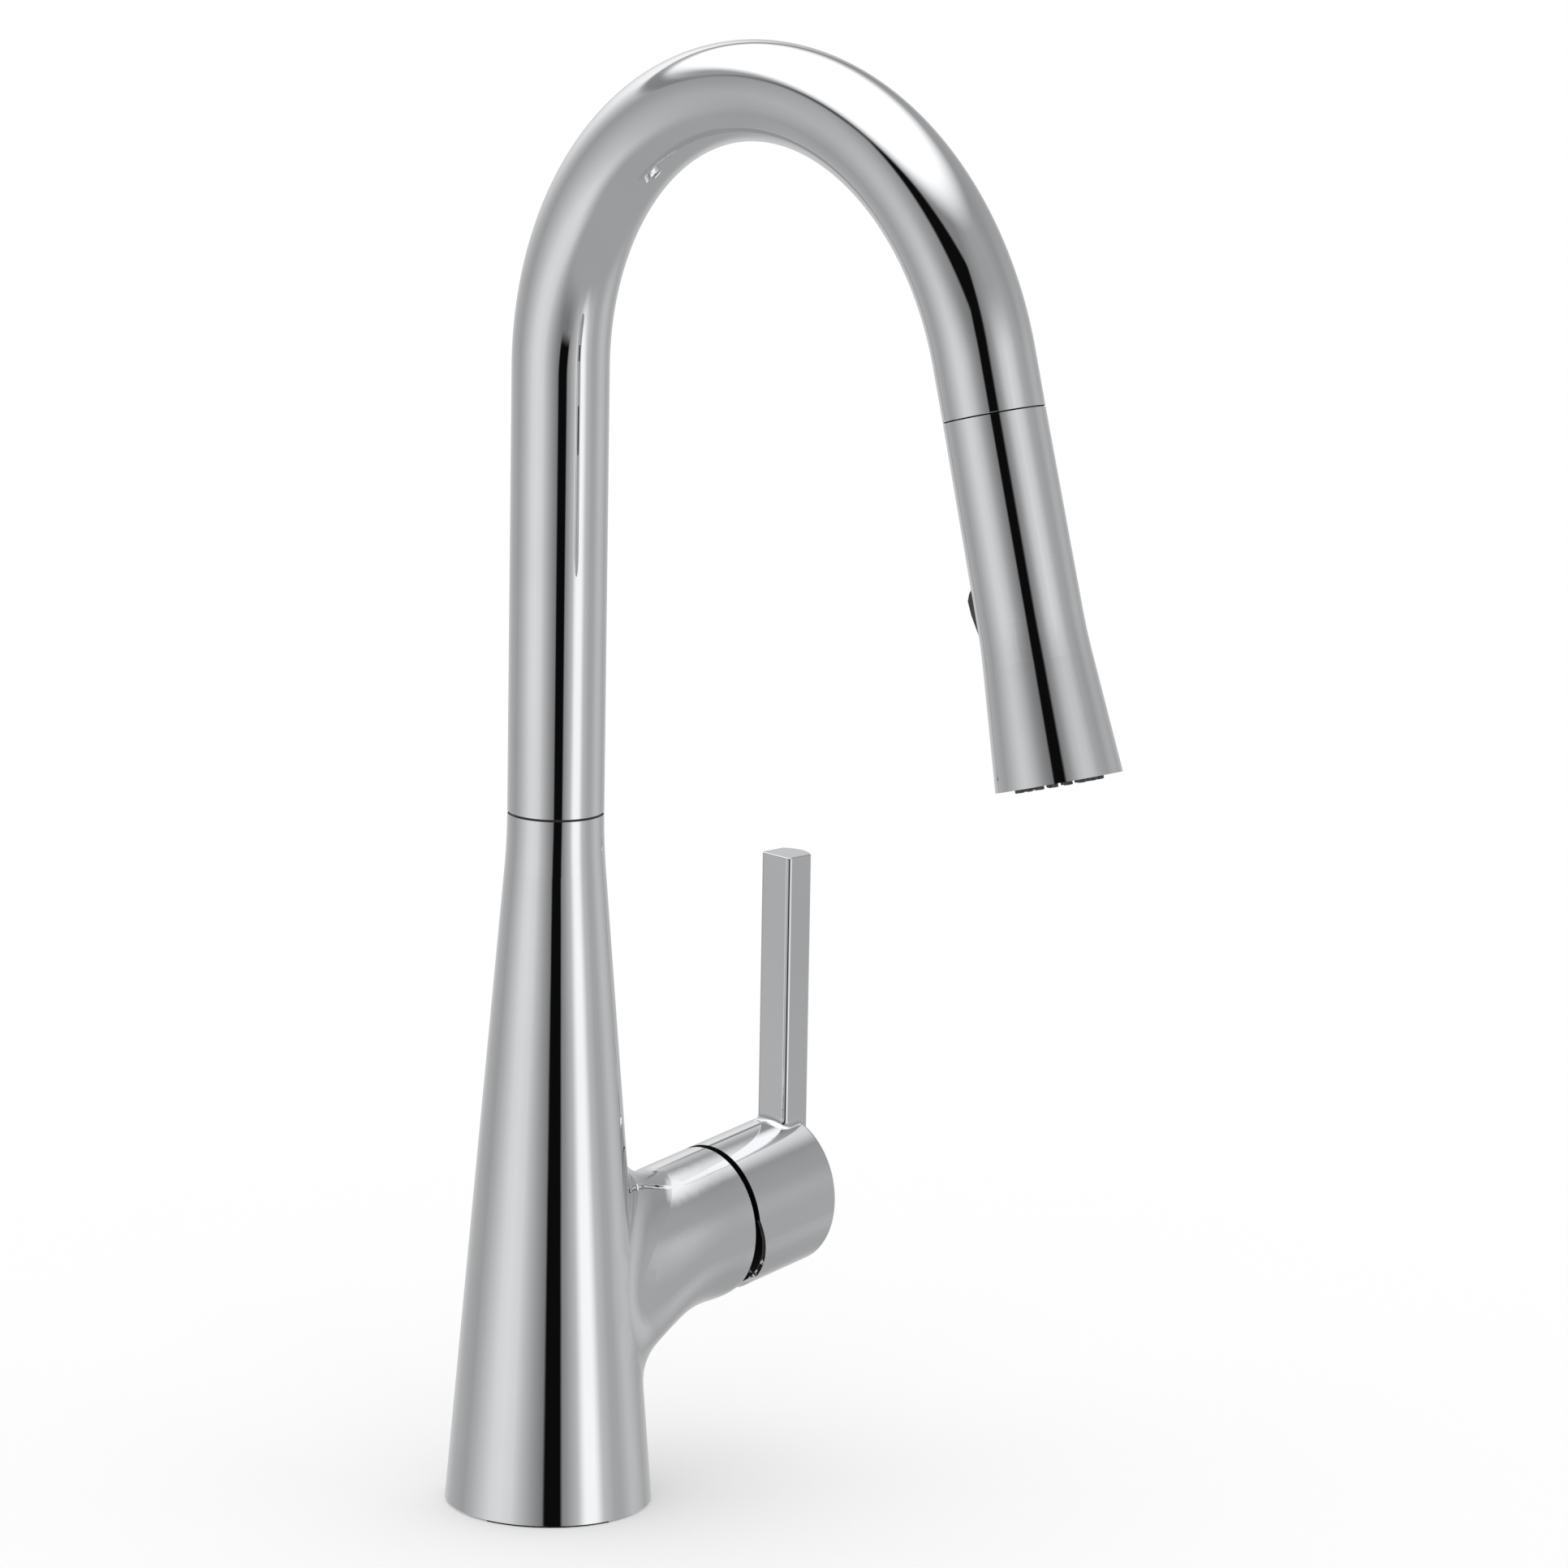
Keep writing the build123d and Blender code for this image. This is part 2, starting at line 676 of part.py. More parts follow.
with BuildPart() as stem_carrier:
    add(rod(valve_plane, housing_bore - running_gap, driver + loose_gap, carrier_end))
    add(
        bar(valve_plane, 2 * (driver_flat + running_gap), 4 * disc_radius, driver,
            driver_end + loose_gap),
        mode=Mode.SUBTRACT,
    )
    add(
        bar(valve_plane, stem_width + 2 * running_gap, stem_slot, driver_end, carrier_end + past),
        mode=Mode.SUBTRACT,
    )
    with BuildSketch(Plane.XZ.offset(-pin_length / 2)):
        with Locations((pivot_x, valve_height)):
            Circle(pin_radius + fit_gap)
    extrude(amount=pin_length, mode=Mode.SUBTRACT)
save(stem_carrier, "stem_carrier")

with BuildPart() as stem_pin:
    with BuildSketch(Plane.XZ.offset(-pin_length / 2)):
        with Locations((pivot_x, valve_height)):
            Circle(pin_radius)
    extrude(amount=pin_length)
save(stem_pin, "stem_pin")

with BuildPart() as moving_ceramic_disc:
    add(rod(valve_plane, disc_radius, moving_disc, moving_disc + disc_thickness, 0, -disc_drop))
    add(
        bar(valve_plane, mixing_width, mixing_height, moving_disc,
            moving_disc + disc_thickness / 2, 0, -disc_drop),
        mode=Mode.SUBTRACT,
    )
save(moving_ceramic_disc, "moving_ceramic_disc")

with BuildPart() as disc_driver:
    with BuildSketch(valve_plane.offset(driver)):
        with Locations((0, -disc_drop)):
            Circle(disc_radius)
            Rectangle(2 * driver_flat, 2 * disc_radius, mode=Mode.INTERSECT)
    extrude(amount=driver_thickness)
    socket = 2 * (stem_ball_radius + running_gap)
    add(
        bar(valve_plane, socket, socket, driver + driver_floor, driver_end + past, 0, -disc_drop),
        mode=Mode.SUBTRACT,
    )
save(disc_driver, "disc_driver")

with BuildPart() as valve_stem:
    add(bar(stem_plane, stem_width, stem_height, -stem_shoulder, stem_length))
    add(rod(stem_plane, stem_neck_radius, -stem_ball_arm, 0))
    with Locations(stem_plane.origin - stem_plane.z_dir * stem_ball_arm):
        Sphere(stem_ball_radius)
    with BuildSketch(Plane.XZ.offset(-pin_length / 2)):
        with Locations((pivot_x, valve_height)):
            Circle(pin_radius + running_gap)
    extrude(amount=pin_length, mode=Mode.SUBTRACT)
save(valve_stem, "valve_stem")


def lever_outside(height):
    """How far out the lever's curved outer face stands at a height."""
    drop = max(lever_curve_start - height, 0)
    return lever_crown - lever_curve_radius + sqrt(lever_curve_radius**2 - drop**2)


lever_foot = hub_axis_height
lever_bend = (lever_foot + lever_curve_start) / 2

with BuildPart() as cap_shape:
    add(rod(hub_plane, hub_radius, pivot_x, handle_end + hub_radius))
    split(bisect_by=Plane.YZ.offset(handle_face), keep=Keep.TOP)
    with Locations((handle_end + handle_dome - dome_radius, 0, hub_height(handle_end))):
        Sphere(dome_radius, mode=Mode.INTERSECT)
    fillet(edges().sort_by(Axis.X)[-1], radius=cap_edge)

with BuildSketch(Plane.XY.offset(lever_foot)) as lever_plan:
    with BuildLine():
        Polyline(
            (lever_side, -lever_width / 2),
            (lever_inner, -lever_width / 2),
            (lever_inner, lever_width / 2),
            (lever_side, lever_width / 2),
        )
        ThreePointArc(
            (lever_side, lever_width / 2), (lever_crown, 0), (lever_side, -lever_width / 2)
        )
    make_face()
    fillet(vertices().group_by(Axis.X)[0], radius=lever_corner)
    fillet(vertices().group_by(Axis.X)[-1], radius=lever_outer_edge)

with BuildPart() as lever_blade:
    extrude(lever_plan.sketch, amount=lever_top - lever_foot)
    with BuildSketch(Plane.XZ):
        with BuildLine():
            Polyline(
                (lever_outside(lever_foot), lever_foot),
                (hub_face, lever_foot),
                (hub_face, lever_top),
                (lever_crown, lever_top),
                (lever_crown, lever_curve_start),
            )
            ThreePointArc(
                (lever_crown, lever_curve_start),
                (lever_outside(lever_bend), lever_bend),
                (lever_outside(lever_foot), lever_foot),
            )
        make_face()
    extrude(amount=lever_width, both=True, mode=Mode.INTERSECT)

# what stands past the cap's rim, apart from the lever
with BuildPart() as cap_waste:
    add(
        bar(Plane.YZ, 3 * hub_radius, lever_curve_start, handle_end - cap_edge,
            handle_end + 3 * hub_radius, 0, hub_axis_height)
    )
    add(cap_shape.part, mode=Mode.SUBTRACT)
    add(lever_blade.part, mode=Mode.SUBTRACT)

with BuildPart() as lever_handle:
    add(rod(hub_plane, hub_radius, pivot_x, handle_end + hub_radius))
    split(bisect_by=Plane.YZ.offset(handle_face), keep=Keep.TOP)
    extrude(lever_plan.sketch, amount=lever_top - lever_foot)
    lever_root = edges().filter_by(
        lambda edge: edge.bounding_box().max.Z < lever_curve_start
        and edge.bounding_box().min.Z > hub_height(handle_end)
        and edge.bounding_box().size.Y < lever_width
        and handle_face + past < edge.bounding_box().min.X
        and edge.bounding_box().max.X < lever_crown + past
    )
    fillet(lever_root, radius=lever_root_fillet)
    add(cap_waste.part, mode=Mode.SUBTRACT)
    fillet(edges().group_by(Axis.Z)[-1], radius=lever_top_edge)
    with BuildSketch(Plane(origin=pivot_plane.origin, x_dir=(0, 1, 0), z_dir=(0, 0, -1))):
        Circle(handle_hollow)
        with Locations((handle_hollow, 0)):
            Rectangle(2 * handle_hollow, 2 * handle_hollow, mode=Mode.INTERSECT)
    revolve(axis=Axis(pivot_plane.origin, pivot_plane.z_dir), mode=Mode.SUBTRACT)
    with BuildSketch(Plane.XZ):
        with BuildLine():
            ThreePointArc(
                (handle_face, relief_top),
                relief_middle,
                (handle_face + relief_depth, hub_low),
            )
            Polyline(
                (handle_face + relief_depth, hub_low),
                (handle_face + relief_depth, hub_low - hub_radius),
                (handle_face - past, hub_low - hub_radius),
                (handle_face - past, relief_top),
                (handle_face, relief_top),
            )
        make_face()
    extrude(amount=2 * hub_radius, both=True, mode=Mode.SUBTRACT)
    add(
        bar(stem_plane, stem_width + 2 * fit_gap, stem_height + 2 * fit_gap, handle_hollow - 2,
            stem_length + loose_gap),
        mode=Mode.SUBTRACT,
    )
    add(rod(screw_plane, screw_radius + fit_gap, 0, hub_radius + past), mode=Mode.SUBTRACT)
    add(
        rod(screw_plane, screw_plug_radius + fit_gap, screw_plug_seat, hub_radius + past),
        mode=Mode.SUBTRACT,
    )
save(lever_handle, "lever_handle")

with BuildPart() as handle_set_screw:
    add(rod(screw_plane, screw_radius, stem_width / 2 + fit_gap, stem_width / 2 + screw_length))
    with BuildSketch(screw_plane.offset(stem_width / 2 + screw_length - screw_socket_depth)):
        RegularPolygon(radius=screw_socket, side_count=6)
    extrude(amount=screw_socket_depth, mode=Mode.SUBTRACT)
save(handle_set_screw, "handle_set_screw")

with BuildPart() as set_screw_plug:
    add(rod(screw_plane, screw_plug_radius, screw_plug_seat + fit_gap, screw_plug_end))
    chamfer(edges().group_by(Axis.Y)[-1], length=screw_plug_edge)
save(set_screw_plug, "set_screw_plug")

# ---- turning spout ----

with BuildPart() as spout_tube:
    add(bent_tube(tube_radius, tube_bore, seam_top, outlet_leg))
save(spout_tube, "spout_tube")

with BuildPart() as spout_sleeve:
    add(
        turn(
            Plane.XY,
            (sleeve_bore, snap_start - sleeve_tail),
            (sleeve_radius, snap_start - sleeve_tail),
            (sleeve_radius, seam_top),
            (tube_bore - fit_gap, seam_top),
            (tube_bore - fit_gap, seam_top + sleeve_grip),
            (sleeve_bore, seam_top + sleeve_grip),
        )
    )
    add(
        ring(Plane.XY, spout_bore_radius, snap_seat, snap_start - fit_gap, snap_end + fit_gap),
        mode=Mode.SUBTRACT,
    )
    for height in spout_seal_heights:
        half = spout_seal_thickness / 2 + fit_gap
        add(
            ring(Plane.XY, spout_bore_radius, spout_seal_radius - half, height - half,
                 height + half),
            mode=Mode.SUBTRACT,
        )
save(spout_sleeve, "spout_sleeve")

with BuildPart() as spout_snap_ring:
    add(ring(Plane.XY, lip_radius + snap_ring_reach, snap_seat, snap_start, snap_end))
    add(
        bar(Plane.XY, 2 * spout_bore_radius, snap_ring_opening, snap_start - past,
            snap_end + past, spout_bore_radius, 0),
        mode=Mode.SUBTRACT,
    )
save(spout_snap_ring, "spout_snap_ring")

with BuildPart() as spout_o_rings:
    for height in spout_seal_heights:
        add(seal(Plane.XY, spout_seal_radius, spout_seal_thickness, height))
save(spout_o_rings, "spout_o_rings")

with BuildPart() as dock_collar:
    add(ring(head_plane, tube_bore - fit_gap, neck_radius + dock_gap, magnet_top, -loose_gap))
    add(
        ring(head_plane, magnet_radius + fit_gap, magnet_bore, magnet_top - past, magnet_bottom),
        mode=Mode.SUBTRACT,
    )
save(dock_collar, "dock_collar")

with BuildPart() as dock_magnet:
    add(ring(head_plane, magnet_radius, magnet_bore, magnet_top, magnet_bottom))
save(dock_magnet, "dock_magnet")

# ---- pull down hose ----

with BuildPart() as pull_down_hose:
    add(bent_tube(hose_radius, hose_bore, -hose_bottom, outlet_leg + hose_end))
save(pull_down_hose, "pull_down_hose")

with BuildPart() as hose_tail_fitting:
    add(
        turn(
            Plane.XY,
            (tail_bore, -hose_bottom - tail_fitting_length),
            (hose_radius, -hose_bottom - tail_fitting_length),
            (hose_radius, -hose_bottom - tail_collar_length),
            (hose_radius + tail_collar, -hose_bottom - tail_collar_length),
            (hose_radius + tail_collar, -hose_bottom),
            (tail_bore, -hose_bottom),
        )
    )
save(hose_tail_fitting, "hose_tail_fitting")

with BuildPart() as hose_tail:
    add(ring(head_plane, hose_radius, hose_bore, hose_end + fit_gap, flange_top - fit_gap))
save(hose_tail, "hose_tail")

with BuildPart() as hose_ferrule:
    add(
        ring(head_plane, hose_radius + ferrule_wall, hose_radius + fit_gap, hose_end + loose_gap,
             flange_top - 2 * fit_gap)
    )
save(hose_ferrule, "hose_ferrule")

with BuildPart() as hose_nipple:
    add(
        ring(head_plane, hose_bore - fit_gap, nipple_bore, flange_top - nipple_length, flange_top)
    )
    add(ring(head_plane, flange_radius, nipple_bore, flange_top, flange_top + nipple_flange))
save(hose_nipple, "hose_nipple")

# ---- spray head ----

flare = (head_end_radius - head_waist_radius) / (head_length - head_flare_start)


def shell_radius(down):
    """Outer radius of the spray head at a distance down from its seam."""
    if down < head_flare_start:
        return tube_radius + (head_waist_radius - tube_radius) * down / head_flare_start
    return head_waist_radius + flare * (down - head_flare_start)


head_section = Plane(origin=head_seam, x_dir=(1, 0, 0), z_dir=-head_plane.y_dir)

with BuildPart() as head_shell:
    with BuildSketch(head_section):
        with BuildLine():
            FilletPolyline(
                (tube_radius, loose_gap),
                (head_waist_radius, head_flare_start),
                (head_end_radius, head_length),
                radius=flare_blend,
            )
            Polyline(
                (head_end_radius, head_length),
                (head_end_radius - head_wall, head_length),
                (shell_radius(head_flare_start) - head_wall, head_flare_start),
                (tube_radius - head_wall, head_roof),
                (neck_bore, head_roof),
                (neck_bore, docking_ring_height - neck_length),
                (neck_radius, docking_ring_height - neck_length),
                (neck_radius, loose_gap),
                (tube_radius, loose_gap),
            )
        make_face()
    revolve(axis=Axis(head_seam, outlet))
    with BuildSketch(button_plane.offset(waterway_radius)):
        with Locations((0, window_margin - window_extra / 2)):
            RectangleRounded(
                button_width + 2 * window_margin,
                button_length + 2 * window_margin + window_extra,
                button_corner + window_margin,
            )
    extrude(amount=tube_radius, mode=Mode.SUBTRACT)
save(head_shell, "head_shell")

with BuildPart() as docking_ring:
    add(ring(head_plane, neck_radius, neck_bore, -neck_length, docking_ring_height - neck_length))
save(docking_ring, "docking_ring")

with BuildPart() as swivel_nut:
    add(
        turn(
            head_plane,
            (hose_radius + swivel_nut_wall, swivel_top),
            (waterway_radius + swivel_nut_wall, swivel_top),
            (waterway_radius + swivel_nut_wall, waterway_top + swivel_thread),
            (flange_radius + loose_gap, waterway_top + swivel_thread),
            (flange_radius + loose_gap, flange_top - running_gap),
            (hose_radius + swivel_nut_wall, flange_top - running_gap),
        )
    )
save(swivel_nut, "swivel_nut")

with BuildPart() as swivel_washer:
    add(
        ring(head_plane, flange_radius, washer_bore, flange_top + nipple_flange + running_gap,
             waterway_top)
    )
save(swivel_washer, "swivel_washer")

with BuildPart() as waterway:
    add(
        turn(
            head_plane,
            (0, waterway_top),
            (flange_radius + loose_gap - fit_gap, waterway_top),
            (flange_radius + loose_gap - fit_gap, waterway_top + swivel_thread + fit_gap),
            (waterway_radius, waterway_top + swivel_thread + fit_gap),
            (waterway_radius, chamber_top),
            (chamber_radius, chamber_top),
            (chamber_radius, chamber_bottom),
            (0, chamber_bottom),
        )
    )
    ear_middle = button_web_width / 2 + loose_gap + ear_thickness / 2
    for side in (-1, 1):
        add(
            bar(button_plane, ear_thickness, ear_length, waterway_radius - ear_root,
                button_pin + ear_reach, side * ear_middle)
        )
    add(
        rod(head_plane, valve_bore, waterway_top - past, waterway_top + valve_bore_length),
        mode=Mode.SUBTRACT,
    )
    add(
        rod(head_plane, waterway_bore, waterway_top, chamber_top + chamber_inlet),
        mode=Mode.SUBTRACT,
    )
    add(
        rod(head_plane, chamber_bore, chamber_top + chamber_roof, chamber_bottom + past),
        mode=Mode.SUBTRACT,
    )
    half = head_seal_thickness / 2 + fit_gap
    add(
        ring(head_plane, chamber_radius + past, head_seal_radius - half, head_seal_place - half,
             head_seal_place + half),
        mode=Mode.SUBTRACT,
    )
    add(
        rod(spool_plane, spool_radius + running_gap, spool_bore_floor, chamber_radius),
        mode=Mode.SUBTRACT,
    )
    add(
        rod(button_pin_plane, button_pin_radius + fit_gap, -button_width, button_width),
        mode=Mode.SUBTRACT,
    )
save(waterway, "waterway")

with BuildPart() as check_valve:
    check_valve_top = waterway_top + check_valve_start
    add(
        ring(head_plane, valve_bore - fit_gap, check_valve_bore, check_valve_top,
             check_valve_top + check_valve_length)
    )
save(check_valve, "check_valve")

with BuildPart() as head_seal:
    add(seal(head_plane, head_seal_radius, head_seal_thickness, head_seal_place))
save(head_seal, "head_seal")


def on_rings(rings):
    """Every nozzle's place on the spray face."""
    return [
        (radius * cos(radians(360 * step / count)), radius * sin(radians(360 * step / count)))
        for radius, count in rings
        for step in range(count)
    ]


with BuildPart() as nozzle_mat:
    add(ring(head_plane, mat_radius, aerator_radius + mat_gap, plate_top - mat_thickness,
             plate_top - fit_gap))
    with BuildSketch(head_plane.offset(plate_top - 2 * fit_gap)):
        with Locations(*on_rings(nozzle_rings)):
            Circle(nozzle_radius)
    extrude(amount=nozzle_tip - plate_top, taper=nozzle_taper)
    with BuildSketch(head_plane.offset(plate_top - mat_thickness)):
        with Locations(*on_rings(nozzle_rings)):
            Circle(nozzle_bore)
    extrude(amount=nozzle_tip, mode=Mode.SUBTRACT)
save(nozzle_mat, "nozzle_mat")

with BuildPart() as face_plate:
    with BuildSketch(head_plane.offset(plate_top)):
        Circle(plate_radius)
        Circle(aerator_radius + running_gap, mode=Mode.SUBTRACT)
        with Locations(*on_rings(nozzle_rings)):
            Circle(nozzle_radius + fit_gap, mode=Mode.SUBTRACT)
    extrude(amount=plate_bottom - plate_top)
save(face_plate, "face_plate")

with BuildPart() as aerator_housing:
    add(
        ring(head_plane, aerator_radius, aerator_radius - aerator_wall, aerator_top,
             plate_bottom + aerator_rise)
    )
save(aerator_housing, "aerator_housing")

with BuildPart() as aerator_screens:
    for down in (aerator_top + upper_screen, plate_bottom - lower_screen):
        with BuildSketch(head_plane.offset(down)):
            Circle(aerator_radius - aerator_wall - fit_gap)
            with GridLocations(screen_pitch, screen_pitch, screen_count, screen_count):
                Rectangle(screen_hole, screen_hole, mode=Mode.SUBTRACT)
        extrude(amount=screen_thickness)
save(aerator_screens, "aerator_screens")

# ---- mode button and diverter ----

with BuildPart() as mode_rocker:
    with BuildSketch(button_plane.offset(button_floor)):
        RectangleRounded(button_width, button_length, button_corner)
    extrude(amount=button_height)
    with BuildSketch(button_side):
        with BuildLine():
            Polyline(
                (button_floor - past, -button_length),
                (button_top_edge, -button_length),
                (button_slope_start, -button_length / 2),
                (button_height, -button_length / 4),
                (button_height - button_crown, 0),
                (button_slope_end, button_length / 2),
                (button_bottom_edge, button_length),
                (button_floor - past, button_length),
                close=True,
            )
        make_face()
    extrude(amount=button_width, both=True, mode=Mode.INTERSECT)
    add(
        bar(button_plane, button_web_width, button_web_length, button_pin - button_web_depth,
            button_floor + fit_gap)
    )
    add(
        rod(button_pin_plane, button_pin_radius + running_gap, -button_width, button_width),
        mode=Mode.SUBTRACT,
    )
save(mode_rocker, "mode_rocker")

with BuildPart() as rocker_pin:
    half = button_width / 2 + button_pin_overhang
    add(rod(button_pin_plane, button_pin_radius, -half, half))
save(rocker_pin, "rocker_pin")

with BuildPart() as diverter_spool:
    add(rod(spool_plane, spool_radius, spool_bottom, spool_shoulder))
    add(rod(spool_plane, spool_rod_radius, spool_shoulder, button_floor - loose_gap))
    for height in spool_seal_heights:
        half = spool_seal_thickness / 2 + fit_gap
        add(
            ring(spool_plane, spool_radius + past, spool_seal_radius - half, height - half,
                 height + half),
            mode=Mode.SUBTRACT,
        )
save(diverter_spool, "diverter_spool")

with BuildPart() as spool_seals:
    for height in spool_seal_heights:
        add(seal(spool_plane, spool_seal_radius, spool_seal_thickness, height))
save(spool_seals, "spool_seals")
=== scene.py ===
import json
import math
import bpy
from mathutils import Matrix, Vector


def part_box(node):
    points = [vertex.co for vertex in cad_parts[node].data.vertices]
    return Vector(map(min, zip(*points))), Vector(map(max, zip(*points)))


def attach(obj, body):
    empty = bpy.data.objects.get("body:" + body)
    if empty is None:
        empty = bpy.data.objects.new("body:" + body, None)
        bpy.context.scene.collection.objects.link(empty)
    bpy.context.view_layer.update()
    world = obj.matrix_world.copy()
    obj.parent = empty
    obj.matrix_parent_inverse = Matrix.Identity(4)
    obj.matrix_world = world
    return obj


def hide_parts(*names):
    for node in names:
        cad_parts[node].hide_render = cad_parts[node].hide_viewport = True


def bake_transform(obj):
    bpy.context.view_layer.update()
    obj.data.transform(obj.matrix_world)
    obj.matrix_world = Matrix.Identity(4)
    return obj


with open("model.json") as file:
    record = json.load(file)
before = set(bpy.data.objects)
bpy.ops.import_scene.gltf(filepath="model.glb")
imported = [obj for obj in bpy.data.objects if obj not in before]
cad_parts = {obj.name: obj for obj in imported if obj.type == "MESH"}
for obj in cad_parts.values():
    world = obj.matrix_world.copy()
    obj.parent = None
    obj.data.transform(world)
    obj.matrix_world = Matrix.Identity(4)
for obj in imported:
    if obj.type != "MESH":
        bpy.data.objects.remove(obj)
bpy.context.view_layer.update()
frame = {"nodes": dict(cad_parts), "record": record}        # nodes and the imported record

nodes = frame["nodes"]


def putNode(tree, kind, inputs=None, **settings):
    node = tree.nodes.new(kind)
    for name, value in settings.items():
        setattr(node, name, value)
    for key, value in (inputs or {}).items():
        if isinstance(value, bpy.types.NodeSocket):
            tree.links.new(value, node.inputs[key])
        else:
            node.inputs[key].default_value = value
    return node


def calc(tree, operation, first, second=0.0, third=0.0):
    inputs = {0: first, 1: second, 2: third}
    return putNode(tree, "ShaderNodeMath", inputs, operation=operation).outputs[0]


def fade(tree, value, start, end, low=0.0, high=1.0):
    inputs = {0: value, 1: start, 2: end, 3: low, 4: high}
    return putNode(tree, "ShaderNodeMapRange", inputs, interpolation_type="SMOOTHSTEP").outputs[0]


def ramp(tree, value, stops):
    node = putNode(tree, "ShaderNodeValToRGB", {0: value})
    points = node.color_ramp.elements
    while len(points) < len(stops):
        points.new(0.5)
    for point, (place, shade) in zip(points, stops):
        point.position = place
        point.color = (*shade, 1) if isinstance(shade, tuple) else (shade, shade, shade, 1)
    return node.outputs[0]


def layOver(tree, below, above, mask):
    return putNode(tree, "ShaderNodeMix", {0: mask, 2: below, 3: above}).outputs[0]


def tintOver(tree, below, above, mask):
    node = putNode(tree, "ShaderNodeMix", {0: mask, 6: below, 7: above}, data_type="RGBA")
    return node.outputs[2]


def makeCamera():
    settings = {
        "place": (-1.4439, -1.62884, 0.68806),
        "turn": -43.284,
        "tilt": -12.251,
        "roll": 1.004,
        "lens": 177.47,
    }
    turn = math.radians(settings["turn"])
    tilt = math.radians(settings["tilt"])
    look = Vector((-math.sin(turn) * math.cos(tilt), math.cos(turn) * math.cos(tilt),
                   math.sin(tilt)))
    data = bpy.data.cameras.new("studioCamera")
    data.lens = settings["lens"]
    data.sensor_width = 36
    camera = bpy.data.objects.new("studioCamera", data)
    bpy.context.scene.collection.objects.link(camera)
    facing = look.to_track_quat("-Z", "Y").to_matrix()
    facing = facing @ Matrix.Rotation(math.radians(settings["roll"]), 3, "Z")
    camera.matrix_world = Matrix.Translation(settings["place"]) @ facing.to_4x4()
    bpy.context.scene.camera = camera


# What polished metal sees round the part: pale cards, a slim lamp and a dark gap. Places are
# degrees to the left of the front and degrees above level, and shades are the greys in chrome.
def makeStudio():
    settings = {
        "front": -138.4,                        # the front, in degrees from +Y
        "waist": ((-180, 0.76), (-150, 0.68), (-137, 0.64), (-118, 0.72), (-108, 0.73), (-90, 0.64),
                  (-80, 0.64), (-62, 0.75), (-48, 0.76), (-32, 0.70), (-20, 0.55), (-8, 0.45),
                  (8, 0.48), (20, 0.60), (32, 0.72), (42, 0.82), (56, 0.85), (68, 0.83),
                  (82, 0.75), (96, 0.67), (110, 0.61), (122, 0.63), (140, 0.67), (160, 0.75),
                  (180, 0.76)),
        "shoulder": ((-180, 0.78), (-170, 0.62), (-150, 0.61), (-118, 0.63), (-100, 0.59),
                     (-78, 0.66), (-62, 0.80), (-48, 0.84), (-34, 0.78), (-20, 0.58), (-5, 0.42),
                     (12, 0.44), (30, 0.51), (50, 0.61), (68, 0.68), (82, 0.68), (98, 0.60),
                     (112, 0.60), (126, 0.78), (145, 0.96), (165, 0.97), (176, 0.87), (180, 0.78)),
        "crown": ((-180, 0.62), (-150, 0.60), (-105, 0.57), (-75, 0.62), (-45, 0.61), (-25, 0.56),
                  (-10, 0.50), (20, 0.50), (50, 0.56), (75, 0.58), (110, 0.60), (126, 0.78),
                  (145, 0.96), (165, 0.97), (180, 0.62)),
        "crownHeight": (15, 38),
        "shoulderHeight": (-8, 21),
        "floorGrey": 0.62,
        "floorLine": {"middle": 62, "span": (55, 20), "heights": (-34, -44), "soft": (9, -11)},
        "lamp": {"middle": (-49, -12), "half": (11, 21), "grey": 0.97, "soft": 0.6},
        "gap": {"lean": 0.24, "middle": -2.6, "half": 10.2, "low": -21, "high": 38, "shade": 0.004,
                "bulge": 2.6, "bulgeHeight": 13, "bulgeSpan": (14, 4)},
        # the gap's arm to the left: a dark arch between its crest and its sill
        "arm": {"crest": (30, 47), "sill": (70, 36.5), "curve": -0.0045, "least": 4,
                "start": (-11, -5), "thin": (108, 74), "thinnest": 0.35, "end": (112, 100)},
        "rim": ((-180, 24), (-150, 18), (100, 20), (112, 15.5), (125, 19), (150, 24), (180, 24)),
        "rimLook": {"width": (4.2, 1.0), "grey": 0.5, "depth": 0.95,
                    "left": (100, 112), "right": (-150, -168)},
        "even": (-30, 60, 0.82, 1.0),           # for dull pieces: low, high and their light
    }
    world = bpy.data.worlds.new("studio")
    world.use_nodes = True
    bpy.context.scene.world = world
    tree = world.node_tree
    tree.nodes.clear()
    place = putNode(tree, "ShaderNodeTexCoord").outputs["Generated"]
    turned = putNode(tree, "ShaderNodeMapping", {0: place})
    turned.inputs["Rotation"].default_value = (0, 0, math.radians(settings["front"]))
    parts = putNode(tree, "ShaderNodeSeparateXYZ", {0: turned.outputs[0]}).outputs
    degree = math.degrees(1)
    across = calc(tree, "MULTIPLY", calc(tree, "ARCTAN2", parts[0], parts[1]), degree)
    up = calc(tree, "MULTIPLY", calc(tree, "ARCSINE", parts[2]), degree)
    turn = calc(tree, "MULTIPLY_ADD", across, 1 / 360, 0.5)

    def shadeOf(grey):                          # the light that chrome shows as this grey
        return ((grey + 0.055) / 1.055) ** 2.4 / 0.86

    def around(stops, measure):
        return ramp(tree, turn, [(angle / 360 + 0.5, measure(value)) for angle, value in stops])

    def both(first, second):
        return calc(tree, "MULTIPLY", first, second)

    waist = around(settings["waist"], shadeOf)
    shoulder = around(settings["shoulder"], shadeOf)
    crown = around(settings["crown"], shadeOf)
    light = layOver(tree, waist, shoulder, fade(tree, up, *settings["shoulderHeight"]))
    light = layOver(tree, light, crown, fade(tree, up, *settings["crownHeight"]))

